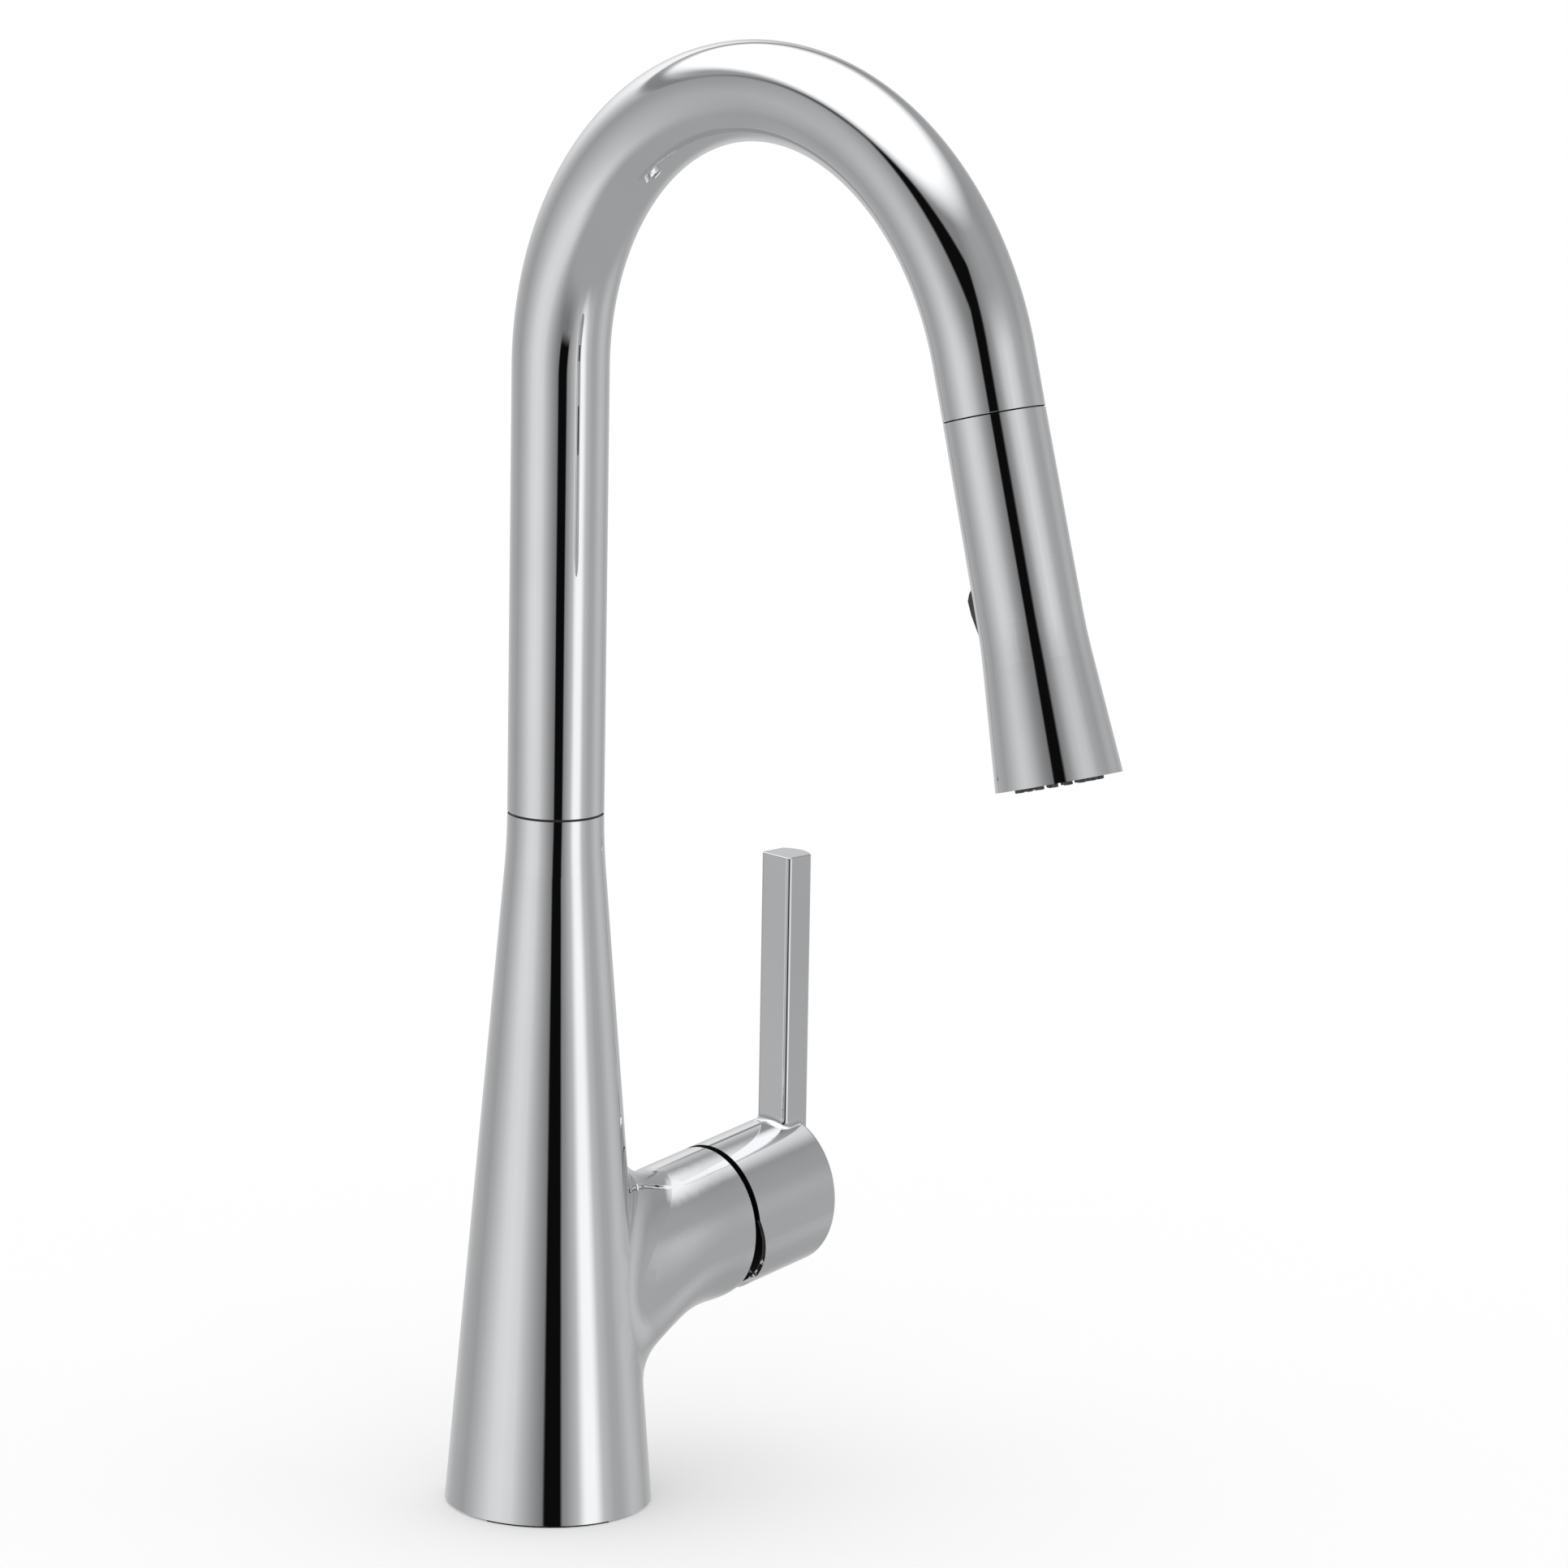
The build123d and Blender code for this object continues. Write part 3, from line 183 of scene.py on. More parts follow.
    lamp = settings["lamp"]
    wide = calc(tree, "DIVIDE", calc(tree, "SUBTRACT", across, lamp["middle"][0]), lamp["half"][0])
    tall = calc(tree, "DIVIDE", calc(tree, "SUBTRACT", up, lamp["middle"][1]), lamp["half"][1])
    far = calc(tree, "SQRT", calc(tree, "ADD", both(wide, wide), both(tall, tall)))
    line = settings["floorLine"]
    aside = calc(tree, "ABSOLUTE", calc(tree, "SUBTRACT", across, line["middle"]))
    low = fade(tree, aside, *line["span"], *line["heights"])
    sunk = fade(tree, calc(tree, "SUBTRACT", up, low), *line["soft"])
    light = layOver(tree, light, shadeOf(settings["floorGrey"]), sunk)
    light = layOver(tree, light, shadeOf(lamp["grey"]),
                    fade(tree, far, 1 + lamp["soft"], 1 - lamp["soft"]))

    gap = settings["gap"]
    middle = calc(tree, "MULTIPLY_ADD", up, gap["lean"], gap["middle"])
    aloft = calc(tree, "ABSOLUTE", calc(tree, "SUBTRACT", up, gap["bulgeHeight"]))
    middle = calc(tree, "ADD", middle, fade(tree, aloft, *gap["bulgeSpan"], 0, gap["bulge"]))
    aside = calc(tree, "ABSOLUTE", calc(tree, "SUBTRACT", across, middle))
    upright = both(fade(tree, aside, gap["half"] + 2, gap["half"] - 2),
                   both(fade(tree, up, gap["low"] - 3, gap["low"] + 3),
                        fade(tree, up, gap["high"] + 4, gap["high"] - 4)))

    arm = settings["arm"]

    def bow(top):
        off = calc(tree, "POWER", calc(tree, "SUBTRACT", across, top[0]), 2)
        return calc(tree, "MULTIPLY_ADD", off, arm["curve"], top[1])

    crest = bow(arm["crest"])
    sill = calc(tree, "MINIMUM", bow(arm["sill"]), calc(tree, "SUBTRACT", crest, arm["least"]))
    dark = both(fade(tree, calc(tree, "SUBTRACT", crest, up), -2, 2),
                fade(tree, calc(tree, "SUBTRACT", up, sill), -2.5, 2.5))
    dark = both(dark, fade(tree, across, *arm["start"]))
    dark = both(dark, fade(tree, across, *arm["thin"], arm["thinnest"], 1))
    dark = both(dark, fade(tree, across, *arm["end"]))
    light = layOver(tree, light, gap["shade"], calc(tree, "MAXIMUM", upright, dark))

    look = settings["rimLook"]
    rim = calc(tree, "MULTIPLY", around(settings["rim"], lambda angle: angle / 90), 90)
    rim = fade(tree, calc(tree, "ABSOLUTE", calc(tree, "SUBTRACT", up, rim)), *look["width"])
    back = calc(tree, "MAXIMUM", fade(tree, across, *look["left"]), fade(tree, across, *look["right"]))
    light = layOver(tree, light, shadeOf(look["grey"]), both(both(rim, back), look["depth"]))

    polished = putNode(tree, "ShaderNodeBackground", {0: light})
    even = putNode(tree, "ShaderNodeBackground", {0: fade(tree, up, *settings["even"])})
    white = putNode(tree, "ShaderNodeBackground", {0: (1, 1, 1, 1)})
    ray = putNode(tree, "ShaderNodeLightPath").outputs
    seen = putNode(tree, "ShaderNodeMixShader",
                   {0: ray["Is Glossy Ray"], 1: even.outputs[0], 2: polished.outputs[0]})
    seen = putNode(tree, "ShaderNodeMixShader",
                   {0: ray["Is Camera Ray"], 1: seen.outputs[0], 2: white.outputs[0]})
    putNode(tree, "ShaderNodeOutputWorld", {0: seen.outputs[0]})


# A wide oval light over the part, with an edge that fades out.
def makeSoftbox():
    settings = {"middle": (0, 0.26, 0.90), "half": (0.53, 0.68), "strength": 1.32,
                "soft": 0.30, "softer": (0.09, 0.09, 0), "reach": 1.45, "sides": 48}
    corners = []
    for step in range(settings["sides"]):
        angle = -2 * math.pi * step / settings["sides"]
        spread = [half * settings["reach"] for half in settings["half"]]
        corners.append((settings["middle"][0] + spread[0] * math.cos(angle),
                        settings["middle"][1] + spread[1] * math.sin(angle),
                        settings["middle"][2]))
    mesh = bpy.data.meshes.new("softbox")
    mesh.from_pydata(corners, [], [range(settings["sides"])])
    softbox = bpy.data.objects.new("softbox", mesh)
    bpy.context.scene.collection.objects.link(softbox)
    softbox.visible_camera = False
    softbox.visible_diffuse = False
    softbox.visible_shadow = False
    finish = bpy.data.materials.new("softboxGlow")
    finish.use_nodes = True
    tree = finish.node_tree
    tree.nodes.clear()
    scale = [1 / half for half in settings["half"]] + [0]
    shift = [-place * share for place, share in zip(settings["middle"], scale)]
    spot = objectPlace(tree, scale, shift=shift)
    away = putNode(tree, "ShaderNodeVectorMath", {0: spot}, operation="LENGTH").outputs["Value"]
    way = putNode(tree, "ShaderNodeVectorMath", {0: spot}, operation="NORMALIZE").outputs[0]
    soft = putNode(tree, "ShaderNodeVectorMath", {0: way, 1: settings["softer"]},
                   operation="DOT_PRODUCT").outputs["Value"]
    soft = calc(tree, "ADD", soft, settings["soft"])
    glow = calc(tree, "DIVIDE", calc(tree, "SUBTRACT", 1.0, away), soft)
    glow = fade(tree, glow, -1, 1)
    lamp = putNode(tree, "ShaderNodeEmission", {0: (1, 1, 1, 1), 1: settings["strength"]})
    clear = putNode(tree, "ShaderNodeBsdfTransparent")
    seen = putNode(tree, "ShaderNodeMixShader",
                   {0: glow, 1: clear.outputs[0], 2: lamp.outputs[0]})
    putNode(tree, "ShaderNodeOutputMaterial", {0: seen.outputs[0]})
    mesh.materials.append(finish)


def makeFloor():
    settings = {"half": 9.0, "shade": 0.96, "lift": 0.07}
    half = settings["half"]
    mesh = bpy.data.meshes.new("floor")
    mesh.from_pydata([(-half, -half, 0), (half, -half, 0), (half, half, 0), (-half, half, 0)],
                     [], [(0, 1, 2, 3)])
    floor = bpy.data.objects.new("floor", mesh)
    bpy.context.scene.collection.objects.link(floor)
    floor.visible_glossy = False
    finish = bpy.data.materials.new("floorPaint")
    finish.use_nodes = True
    tree = finish.node_tree
    tree.nodes.clear()
    shade = settings["shade"]
    paint = putNode(tree, "ShaderNodeBsdfDiffuse", {0: (shade, shade, shade, 1)})
    lift = putNode(tree, "ShaderNodeEmission", {0: (1, 1, 1, 1), 1: settings["lift"]})
    both = putNode(tree, "ShaderNodeAddShader", {0: paint.outputs[0], 1: lift.outputs[0]})
    putNode(tree, "ShaderNodeOutputMaterial", {0: both.outputs[0]})
    mesh.materials.append(finish)


def objectPlace(tree, scale=(1, 1, 1), turn=(0, 0, 0), shift=(0, 0, 0)):
    place = putNode(tree, "ShaderNodeTexCoord").outputs["Object"]
    inputs = {"Vector": place, "Location": shift, "Scale": scale,
              "Rotation": [math.radians(angle) for angle in turn]}
    return putNode(tree, "ShaderNodeMapping", inputs).outputs[0]


def cloud(tree, place, scale, detail=3.0, warp=0.0):
    inputs = {"Vector": place, "Scale": scale, "Detail": detail, "Distortion": warp}
    return putNode(tree, "ShaderNodeTexNoise", inputs).outputs[0]


def specks(tree, place, scale, size):
    inputs = {"Vector": place, "Scale": scale}
    cell = putNode(tree, "ShaderNodeTexVoronoi", inputs).outputs
    share = putNode(tree, "ShaderNodeSeparateColor", {0: cell["Color"]}).outputs[0]
    reach = calc(tree, "MULTIPLY", share, size)
    return fade(tree, calc(tree, "SUBTRACT", reach, cell["Distance"]), 0, size * 0.4)


def emboss(tree, height, depth, below=None):
    inputs = {"Height": height, "Distance": depth}
    if below:
        inputs["Normal"] = below
    return putNode(tree, "ShaderNodeBump", inputs).outputs[0]


def startFinish(name, **fixed):
    finish = bpy.data.materials.new(name)
    finish.use_nodes = True
    tree = finish.node_tree
    tree.nodes.clear()
    inputs = {key.replace("_", " "): value for key, value in fixed.items()}
    shader = putNode(tree, "ShaderNodeBsdfPrincipled", inputs)
    putNode(tree, "ShaderNodeOutputMaterial", {0: shader.outputs[0]})

    def feed(colour, rough, bump):
        tree.links.new(colour, shader.inputs["Base Color"])
        tree.links.new(rough, shader.inputs["Roughness"])
        tree.links.new(bump, shader.inputs["Normal"])
        return finish

    return tree, feed


def offAxis(tree, settings):
    parts = putNode(tree, "ShaderNodeSeparateXYZ", {0: objectPlace(tree)}).outputs
    rise = math.radians(settings["rise"])
    middle = calc(tree, "MULTIPLY_ADD", parts[0], math.tan(rise), settings["height"])
    up = calc(tree, "MULTIPLY", calc(tree, "SUBTRACT", parts[2], middle), math.cos(rise))
    off = calc(tree, "ADD", calc(tree, "POWER", parts[1], 2), calc(tree, "POWER", up, 2))
    return parts, calc(tree, "SQRT", off)


# Where the hub's mouth and the cap turn near-black and rough: inside them, where they are left as
# cast and their near-black is painted shade too, and on their rims in the seam, as painted shade.
# Low in the seam the rims keep their chrome, and small spots are left out of the painted shade.
def hubCastAndShade(tree):
    settings = {"height": 0.0631, "rise": 9.3, "radius": 0.0208, "start": 0.035, "end": 0.0885,
                "rimStart": 0.06115, "rimEnd": 0.0632, "rimShadeHeights": (0.0575, 0.064),
                "worn": (0.062, 0.0575), "spots": 300, "spotEdge": (0.49, 0.55)}
    parts, off = offAxis(tree, settings)
    within = calc(tree, "LESS_THAN", off, settings["radius"])
    for operation, limit in (("GREATER_THAN", "start"), ("LESS_THAN", "end")):
        within = calc(tree, "MULTIPLY", within, calc(tree, operation, parts[0], settings[limit]))
    rim = calc(tree, "MULTIPLY", calc(tree, "GREATER_THAN", parts[0], settings["rimStart"]),
               calc(tree, "LESS_THAN", parts[0], settings["rimEnd"]))
    # The rims' painted shade fades out low in the seam, where they keep their chrome.
    rim = calc(tree, "MULTIPLY", rim, fade(tree, parts[2], *settings["rimShadeHeights"]))
    spots = cloud(tree, objectPlace(tree), settings["spots"], 1, 1.2)
    # Here worn marks no wear: small spots low in the seam where the painted shade is left off and the
    # chrome shows.
    worn = calc(tree, "MULTIPLY", fade(tree, spots, *settings["spotEdge"]),
                fade(tree, parts[2], *settings["worn"]))
    castAndShade = calc(tree, "MAXIMUM", within, rim)
    return calc(tree, "MULTIPLY", castAndShade, calc(tree, "SUBTRACT", 1.0, worn))


# The tube's two cut ends, in its seams, are coloured near-black: painted shade.
def tubeEndShade(tree):
    cut = 0.00012
    along = calc(tree, "SUBTRACT", pathPlace(tree)[1], (spoutPath["from"] + spoutPath["to"]) / 2)
    half = (spoutPath["to"] - spoutPath["from"]) / 2 - cut
    return calc(tree, "GREATER_THAN", calc(tree, "ABSOLUTE", along), half)


def pathPlace(tree):
    place = putNode(tree, "ShaderNodeUVMap", uv_map="alongPath").outputs[0]
    return putNode(tree, "ShaderNodeSeparateXYZ", {0: place}).outputs


# Polished chrome with wiping lines, a thin film and dried drops. Where the given mask lies it turns
# near-black and rough: as-cast metal in part, and painted shade in seams and hollows.
def chromePlate(name, castAndShadeMask=None):
    settings = {"pale": (0.842, 0.851, 0.866, 1), "deep": (0.815, 0.822, 0.836, 1),
                "castAndShade": (0.028, 0.028, 0.03, 1), "castRough": (0.45, 0.75), "castDepth": 0.00005,
                "ripple": 0.000005, "lineRough": 0.07, "film": 0.016, "dropRough": 0.05}
    tree, feed = startFinish(name, Metallic=1.0)
    place = objectPlace(tree)
    patches = cloud(tree, place, 16, 4, 0.6)
    colour = tintOver(tree, settings["pale"], settings["deep"], fade(tree, patches, 0.35, 0.68))
    first = cloud(tree, objectPlace(tree, (1300, 1300, 26), (0, 9, 14)), 1, 1)
    second = cloud(tree, objectPlace(tree, (40, 1100, 900), (24, -16, 0)), 1, 1)
    lines = calc(tree, "MAXIMUM", fade(tree, first, 0.70, 0.80), fade(tree, second, 0.72, 0.82))
    lines = calc(tree, "MULTIPLY", lines, fade(tree, cloud(tree, place, 31, 2), 0.45, 0.62))
    film = calc(tree, "MULTIPLY_ADD", fade(tree, cloud(tree, place, 48, 5), 0.4, 0.75),
                settings["film"], settings["film"])
    drops = calc(tree, "MULTIPLY", specks(tree, place, 420, 0.16), settings["dropRough"])
    film = calc(tree, "ADD", film, drops)
    rough = calc(tree, "MULTIPLY_ADD", lines, settings["lineRough"], film)
    bump = emboss(tree, cloud(tree, place, 62, 1), settings["ripple"])
    if castAndShadeMask:
        mask = castAndShadeMask(tree)
        grit = cloud(tree, place, 1500, 4)
        # The near-black is as-cast metal in part, and painted shade in seams and hollows.
        colour = tintOver(tree, colour, settings["castAndShade"], mask)
        rough = layOver(tree, rough, fade(tree, grit, 0.2, 0.8, *settings["castRough"]), mask)
        bump = emboss(tree, calc(tree, "MULTIPLY", grit, mask), settings["castDepth"], bump)
    return feed(colour, rough, bump)


def turnedBrass(name):
    settings = {"bright": (0.80, 0.60, 0.30, 1), "dull": (0.46, 0.31, 0.15, 1),
                "ringPitch": 0.00022, "ringDepth": 0.000006}
    tree, feed = startFinish(name, Metallic=1.0)
    place = objectPlace(tree)
    parts = putNode(tree, "ShaderNodeSeparateXYZ", {0: place}).outputs
    age = fade(tree, cloud(tree, place, 75, 6, 1.4), 0.42, 0.70)
    colour = tintOver(tree, settings["bright"], settings["dull"], age)
    wobble = calc(tree, "MULTIPLY_ADD", cloud(tree, place, 300, 2), 0.4, 0)
    turns = calc(tree, "ADD", calc(tree, "DIVIDE", parts[2], settings["ringPitch"]), wobble)
    rings = calc(tree, "SINE", calc(tree, "MULTIPLY", turns, 2 * math.pi))
    rough = calc(tree, "ADD", fade(tree, age, 0, 1, 0.20, 0.46),
                 calc(tree, "MULTIPLY", specks(tree, place, 900, 0.2), 0.15))
    return feed(colour, rough, emboss(tree, rings, settings["ringDepth"]))


def machinedSteel(name):
    settings = {"pale": (0.66, 0.665, 0.67, 1), "smoky": (0.44, 0.44, 0.45, 1), "depth": 0.000012}
    tree, feed = startFinish(name, Metallic=1.0)
    place = objectPlace(tree)
    smoke = fade(tree, cloud(tree, place, 95, 5, 0.8), 0.40, 0.72)
    brushed = cloud(tree, objectPlace(tree, (2600, 2600, 120), (0, 0, 20)), 1, 3)
    colour = tintOver(tree, settings["pale"], settings["smoky"], smoke)
    rough = calc(tree, "MULTIPLY_ADD", brushed, 0.22, fade(tree, smoke, 0, 1, 0.13, 0.26))
    return feed(colour, rough, emboss(tree, brushed, settings["depth"]))


def drawnCopper(name):
    settings = {"fresh": (0.90, 0.52, 0.37, 1), "brown": (0.40, 0.18, 0.10, 1),
                "stain": (0.24, 0.34, 0.28, 1), "depth": 0.000008}
    tree, feed = startFinish(name, Metallic=1.0)
    place = objectPlace(tree)
    streaks = cloud(tree, objectPlace(tree, (1600, 1600, 22)), 1, 4)
    age = fade(tree, cloud(tree, place, 60, 6, 2), 0.46, 0.72)
    colour = tintOver(tree, settings["fresh"], settings["brown"], age)
    spots = calc(tree, "MULTIPLY", specks(tree, place, 260, 0.34), 0.55)
    colour = tintOver(tree, colour, settings["stain"], spots)
    rough = calc(tree, "ADD", fade(tree, age, 0, 1, 0.20, 0.48), calc(tree, "MULTIPLY", streaks, 0.1))
    return feed(colour, rough, emboss(tree, streaks, settings["depth"]))


dustGrey = (0.55, 0.53, 0.50, 1)


# Plastic with flow marks, a moulded grain, faint fibres and some dust.
def mouldedPlastic(name, settings):
    tree, feed = startFinish(name, IOR=settings["ior"], Specular_IOR_Level=0.5)
    place = objectPlace(tree)
    flow = fade(tree, cloud(tree, objectPlace(tree, (1, 1, 0.35), (12, 20, 0)), 120, 4, 2.2),
                0.35, 0.70)
    colour = tintOver(tree, settings["colour"], settings["flow"], flow)
    dust = calc(tree, "MULTIPLY", specks(tree, place, 1100, 0.22), settings["dust"])
    colour = tintOver(tree, colour, dustGrey, dust)
    grain = cloud(tree, place, settings["grain"], 3)
    rough = calc(tree, "MULTIPLY_ADD", flow, 0.08, settings["rough"])
    rough = calc(tree, "MULTIPLY_ADD", grain, 0.12, rough)
    fibre = cloud(tree, objectPlace(tree, (900, 900, 5200), (35, 15, 0)), 1, 2)
    bump = emboss(tree, grain, settings["depth"])
    return feed(colour, rough, emboss(tree, fibre, settings["depth"] * 0.4, bump))


def darkPlastic(name):
    return mouldedPlastic(name, {"colour": (0.030, 0.031, 0.033, 1), "flow": (0.042, 0.043, 0.045, 1),
                                 "ior": 1.49, "dust": 0.10, "grain": 3200, "rough": 0.30,
                                 "depth": 0.000022})


def whitePlastic(name):
    return mouldedPlastic(name, {"colour": (0.80, 0.79, 0.755, 1), "flow": (0.73, 0.715, 0.67, 1),
                                 "ior": 1.48, "dust": 0.05, "grain": 1400, "rough": 0.28,
                                 "depth": 0.000012})


def greyPlastic(name):
    return mouldedPlastic(name, {"colour": (0.235, 0.24, 0.245, 1), "flow": (0.30, 0.30, 0.295, 1),
                                 "ior": 1.52, "dust": 0.12, "grain": 2200, "rough": 0.38,
                                 "depth": 0.000025})


def dustyRubber(name):
    settings = {"black": (0.022, 0.022, 0.023, 1), "bloom": (0.085, 0.083, 0.080, 1),
                "depth": 0.00004}
    tree, feed = startFinish(name, IOR=1.50, Specular_IOR_Level=0.35)
    place = objectPlace(tree)
    bloom = fade(tree, cloud(tree, place, 130, 6, 1.0), 0.48, 0.78)
    colour = tintOver(tree, settings["black"], settings["bloom"], bloom)
    grain = cloud(tree, place, 2600, 4)
    rough = calc(tree, "MULTIPLY_ADD", bloom, 0.22, calc(tree, "MULTIPLY_ADD", grain, 0.15, 0.52))
    return feed(colour, rough, emboss(tree, grain, settings["depth"]))


def nozzleSilicone(name):
    settings = {"grey": (0.060, 0.062, 0.066, 1), "dry": (0.15, 0.152, 0.155, 1), "depth": 0.00002}
    tree, feed = startFinish(name, IOR=1.42, Sheen_Weight=0.12, Sheen_Roughness=0.5)
    place = objectPlace(tree)
    scale = fade(tree, cloud(tree, place, 420, 5, 0.8), 0.52, 0.76)   # dried water
    colour = tintOver(tree, settings["grey"], settings["dry"], calc(tree, "MULTIPLY", scale, 0.6))
    grain = cloud(tree, place, 3600, 2)
    rough = calc(tree, "MULTIPLY_ADD", scale, 0.2, calc(tree, "MULTIPLY_ADD", grain, 0.1, 0.42))
    return feed(colour, rough, emboss(tree, grain, settings["depth"]))


# Two families of yarns cross over and under each other round the hose, and one in nine is pale.
def hoseCover(name):
    settings = {"yarns": 18, "rise": 0.031, "yarn": (0.15, 0.153, 0.158, 1), "tracerEvery": 9,
                "shade": (0.012, 0.012, 0.013, 1), "tracer": (0.60, 0.61, 0.62, 1), "depth": 0.0004,
                "fuzzDepth": 0.00002}
    tree, feed = startFinish(name, IOR=1.53, Specular_IOR_Level=0.7)
    around, along = pathPlace(tree)[:2]
    lean = calc(tree, "DIVIDE", along, settings["rise"])

    def yarns(operation):
        count = calc(tree, "MULTIPLY", calc(tree, operation, around, lean), settings["yarns"])
        middle = calc(tree, "ABSOLUTE", calc(tree, "MULTIPLY_ADD", calc(tree, "FRACT", count), 2, -1))
        crown = calc(tree, "SQRT", calc(tree, "SUBTRACT", 1.0, calc(tree, "POWER", middle, 2)))
        return calc(tree, "FLOOR", count), crown

    leftCount, left = yarns("ADD")
    rightCount, right = yarns("SUBTRACT")
    under = calc(tree, "FLOORED_MODULO", calc(tree, "ADD", leftCount, rightCount), 2)
    crown = layOver(tree, left, right, under)
    count = layOver(tree, leftCount, rightCount, under)
    marked = calc(tree, "LESS_THAN", calc(tree, "FLOORED_MODULO", count, settings["tracerEvery"]), 0.5)
    marked = calc(tree, "MULTIPLY", marked, calc(tree, "SUBTRACT", 1.0, under))
    place = objectPlace(tree)
    fuzz = cloud(tree, place, 4200, 3)
    colour = tintOver(tree, settings["shade"], settings["yarn"], fade(tree, crown, 0.1, 0.95))
    colour = tintOver(tree, colour, settings["tracer"],
                      calc(tree, "MULTIPLY", marked, fade(tree, crown, 0.2, 0.9)))
    colour = tintOver(tree, colour, settings["shade"],
                      calc(tree, "MULTIPLY", fade(tree, cloud(tree, place, 90, 4), 0.5, 0.8), 0.5))
    rough = calc(tree, "MULTIPLY_ADD", fuzz, 0.25, 0.26)
    bump = emboss(tree, crown, settings["depth"])
    return feed(colour, rough, emboss(tree, fuzz, settings["fuzzDepth"], bump))


def firedCeramic(name):
    settings = {"white": (0.84, 0.83, 0.80, 1), "speck": (0.60, 0.56, 0.50, 1),
                "cloudy": (0.78, 0.775, 0.75, 1), "depth": 0.000004}
    tree, feed = startFinish(name, IOR=1.76, Specular_IOR_Level=0.6)
    place = objectPlace(tree)
    colour = tintOver(tree, settings["white"], settings["speck"],
                      calc(tree, "MULTIPLY", specks(tree, place, 1500, 0.18), 0.5))
    colour = tintOver(tree, colour, settings["cloudy"],
                      fade(tree, cloud(tree, place, 150), 0.4, 0.7))
    lapped = cloud(tree, place, 2400, 3)
    return feed(colour, calc(tree, "MULTIPLY_ADD", lapped, 0.2, 0.08),
                emboss(tree, lapped, settings["depth"]))


def magnetNickel(name):
    settings = {"bright": (0.60, 0.575, 0.54, 1), "worn": (0.30, 0.285, 0.27, 1), "depth": 0.00001}
    tree, feed = startFinish(name, Metallic=1.0)
    place = objectPlace(tree)
    worn = fade(tree, cloud(tree, place, 210, 6, 1.2), 0.50, 0.66)
    colour = tintOver(tree, settings["bright"], settings["worn"], worn)
    pits = specks(tree, place, 1300, 0.26)
    rough = calc(tree, "ADD", fade(tree, worn, 0, 1, 0.22, 0.5), calc(tree, "MULTIPLY", pits, 0.2))
    return feed(colour, rough, emboss(tree, calc(tree, "ADD", worn, pits), settings["depth"]))


def startTree(name, sizes):
    tree = bpy.data.node_groups.new(name, "GeometryNodeTree")
    kinds = {float: "Float", int: "Int", bpy.types.Material: "Material"}
    for label, value in sizes.items():
        tree.interface.new_socket(label, in_out="INPUT",
                                  socket_type="NodeSocket" + kinds[type(value)])
    tree.interface.new_socket("Mesh", in_out="OUTPUT", socket_type="NodeSocketGeometry")
    return tree, putNode(tree, "NodeGroupInput").outputs


def endTree(tree, shape, finish):
    solid = putNode(tree, "GeometryNodeRealizeInstances", {0: shape}).outputs[0]
    painted = putNode(tree, "GeometryNodeSetMaterial", {"Geometry": solid, "Material": finish})
    putNode(tree, "NodeGroupOutput", {0: painted.outputs[0]})


# Runs the tree, keeps its result as a plain mesh and takes the modifier off again.
def growPiece(name, tree, sizes, sharp=30):
    piece = bpy.data.objects.new(name, bpy.data.meshes.new(name))
    bpy.context.scene.collection.objects.link(piece)
    modifier = piece.modifiers.new("grow", "NODES")
    modifier.node_group = tree
    for item in tree.interface.items_tree:
        if item.in_out == "INPUT":
            modifier[item.identifier] = sizes[item.name]
    view = bpy.context.evaluated_depsgraph_get()
    mesh = bpy.data.meshes.new_from_object(piece.evaluated_get(view))
    piece.modifiers.clear()
    piece.data = mesh
    mesh.name = name
    mesh.materials.clear()
    mesh.materials.append(sizes["finish"])
    mesh.polygons.foreach_set("material_index", [0] * len(mesh.polygons))
    mesh.set_sharp_from_angle(angle=math.radians(sharp))
    return piece


# A sheet of rows and columns, one step between points, to be wrapped by wrapSheet.
def startSheet(tree, rows, sides):
    size = {"Size X": rows, "Size Y": sides, "Vertices X": calc(tree, "ADD", rows, 1),
            "Vertices Y": calc(tree, "ADD", sides, 1)}
    sheet = putNode(tree, "GeometryNodeMeshGrid", size).outputs[0]
    place = putNode(tree, "ShaderNodeSeparateXYZ",
                    {0: putNode(tree, "GeometryNodeInputPosition").outputs[0]}).outputs
    row = calc(tree, "ROUND", calc(tree, "MULTIPLY_ADD", rows, 0.5, place[0]))
    column = calc(tree, "MULTIPLY_ADD", sides, 0.5, place[1])
    around = calc(tree, "DIVIDE", column, sides)
    return sheet, calc(tree, "FLOORED_MODULO", row, rows), around


# Moves the sheet's points to their places, closes its seams and marks where each one lies.
def wrapSheet(tree, sheet, around, along, place):
    weld = 0.000002
    mark = putNode(tree, "ShaderNodeCombineXYZ", {0: around, 1: along}).outputs[0]
    sheet = putNode(tree, "GeometryNodeStoreNamedAttribute",
                    {"Geometry": sheet, "Name": "alongPath", "Value": mark},
                    data_type="FLOAT2", domain="CORNER").outputs[0]
    sheet = putNode(tree, "GeometryNodeSetPosition", {"Geometry": sheet, "Position": place}).outputs[0]
    sheet = putNode(tree, "GeometryNodeMergeByDistance", {0: sheet, "Distance": weld}).outputs[0]
    sheet = putNode(tree, "GeometryNodeFlipFaces", {0: sheet}).outputs[0]
    return putNode(tree, "GeometryNodeSetShadeSmooth", {0: sheet}).outputs[0]


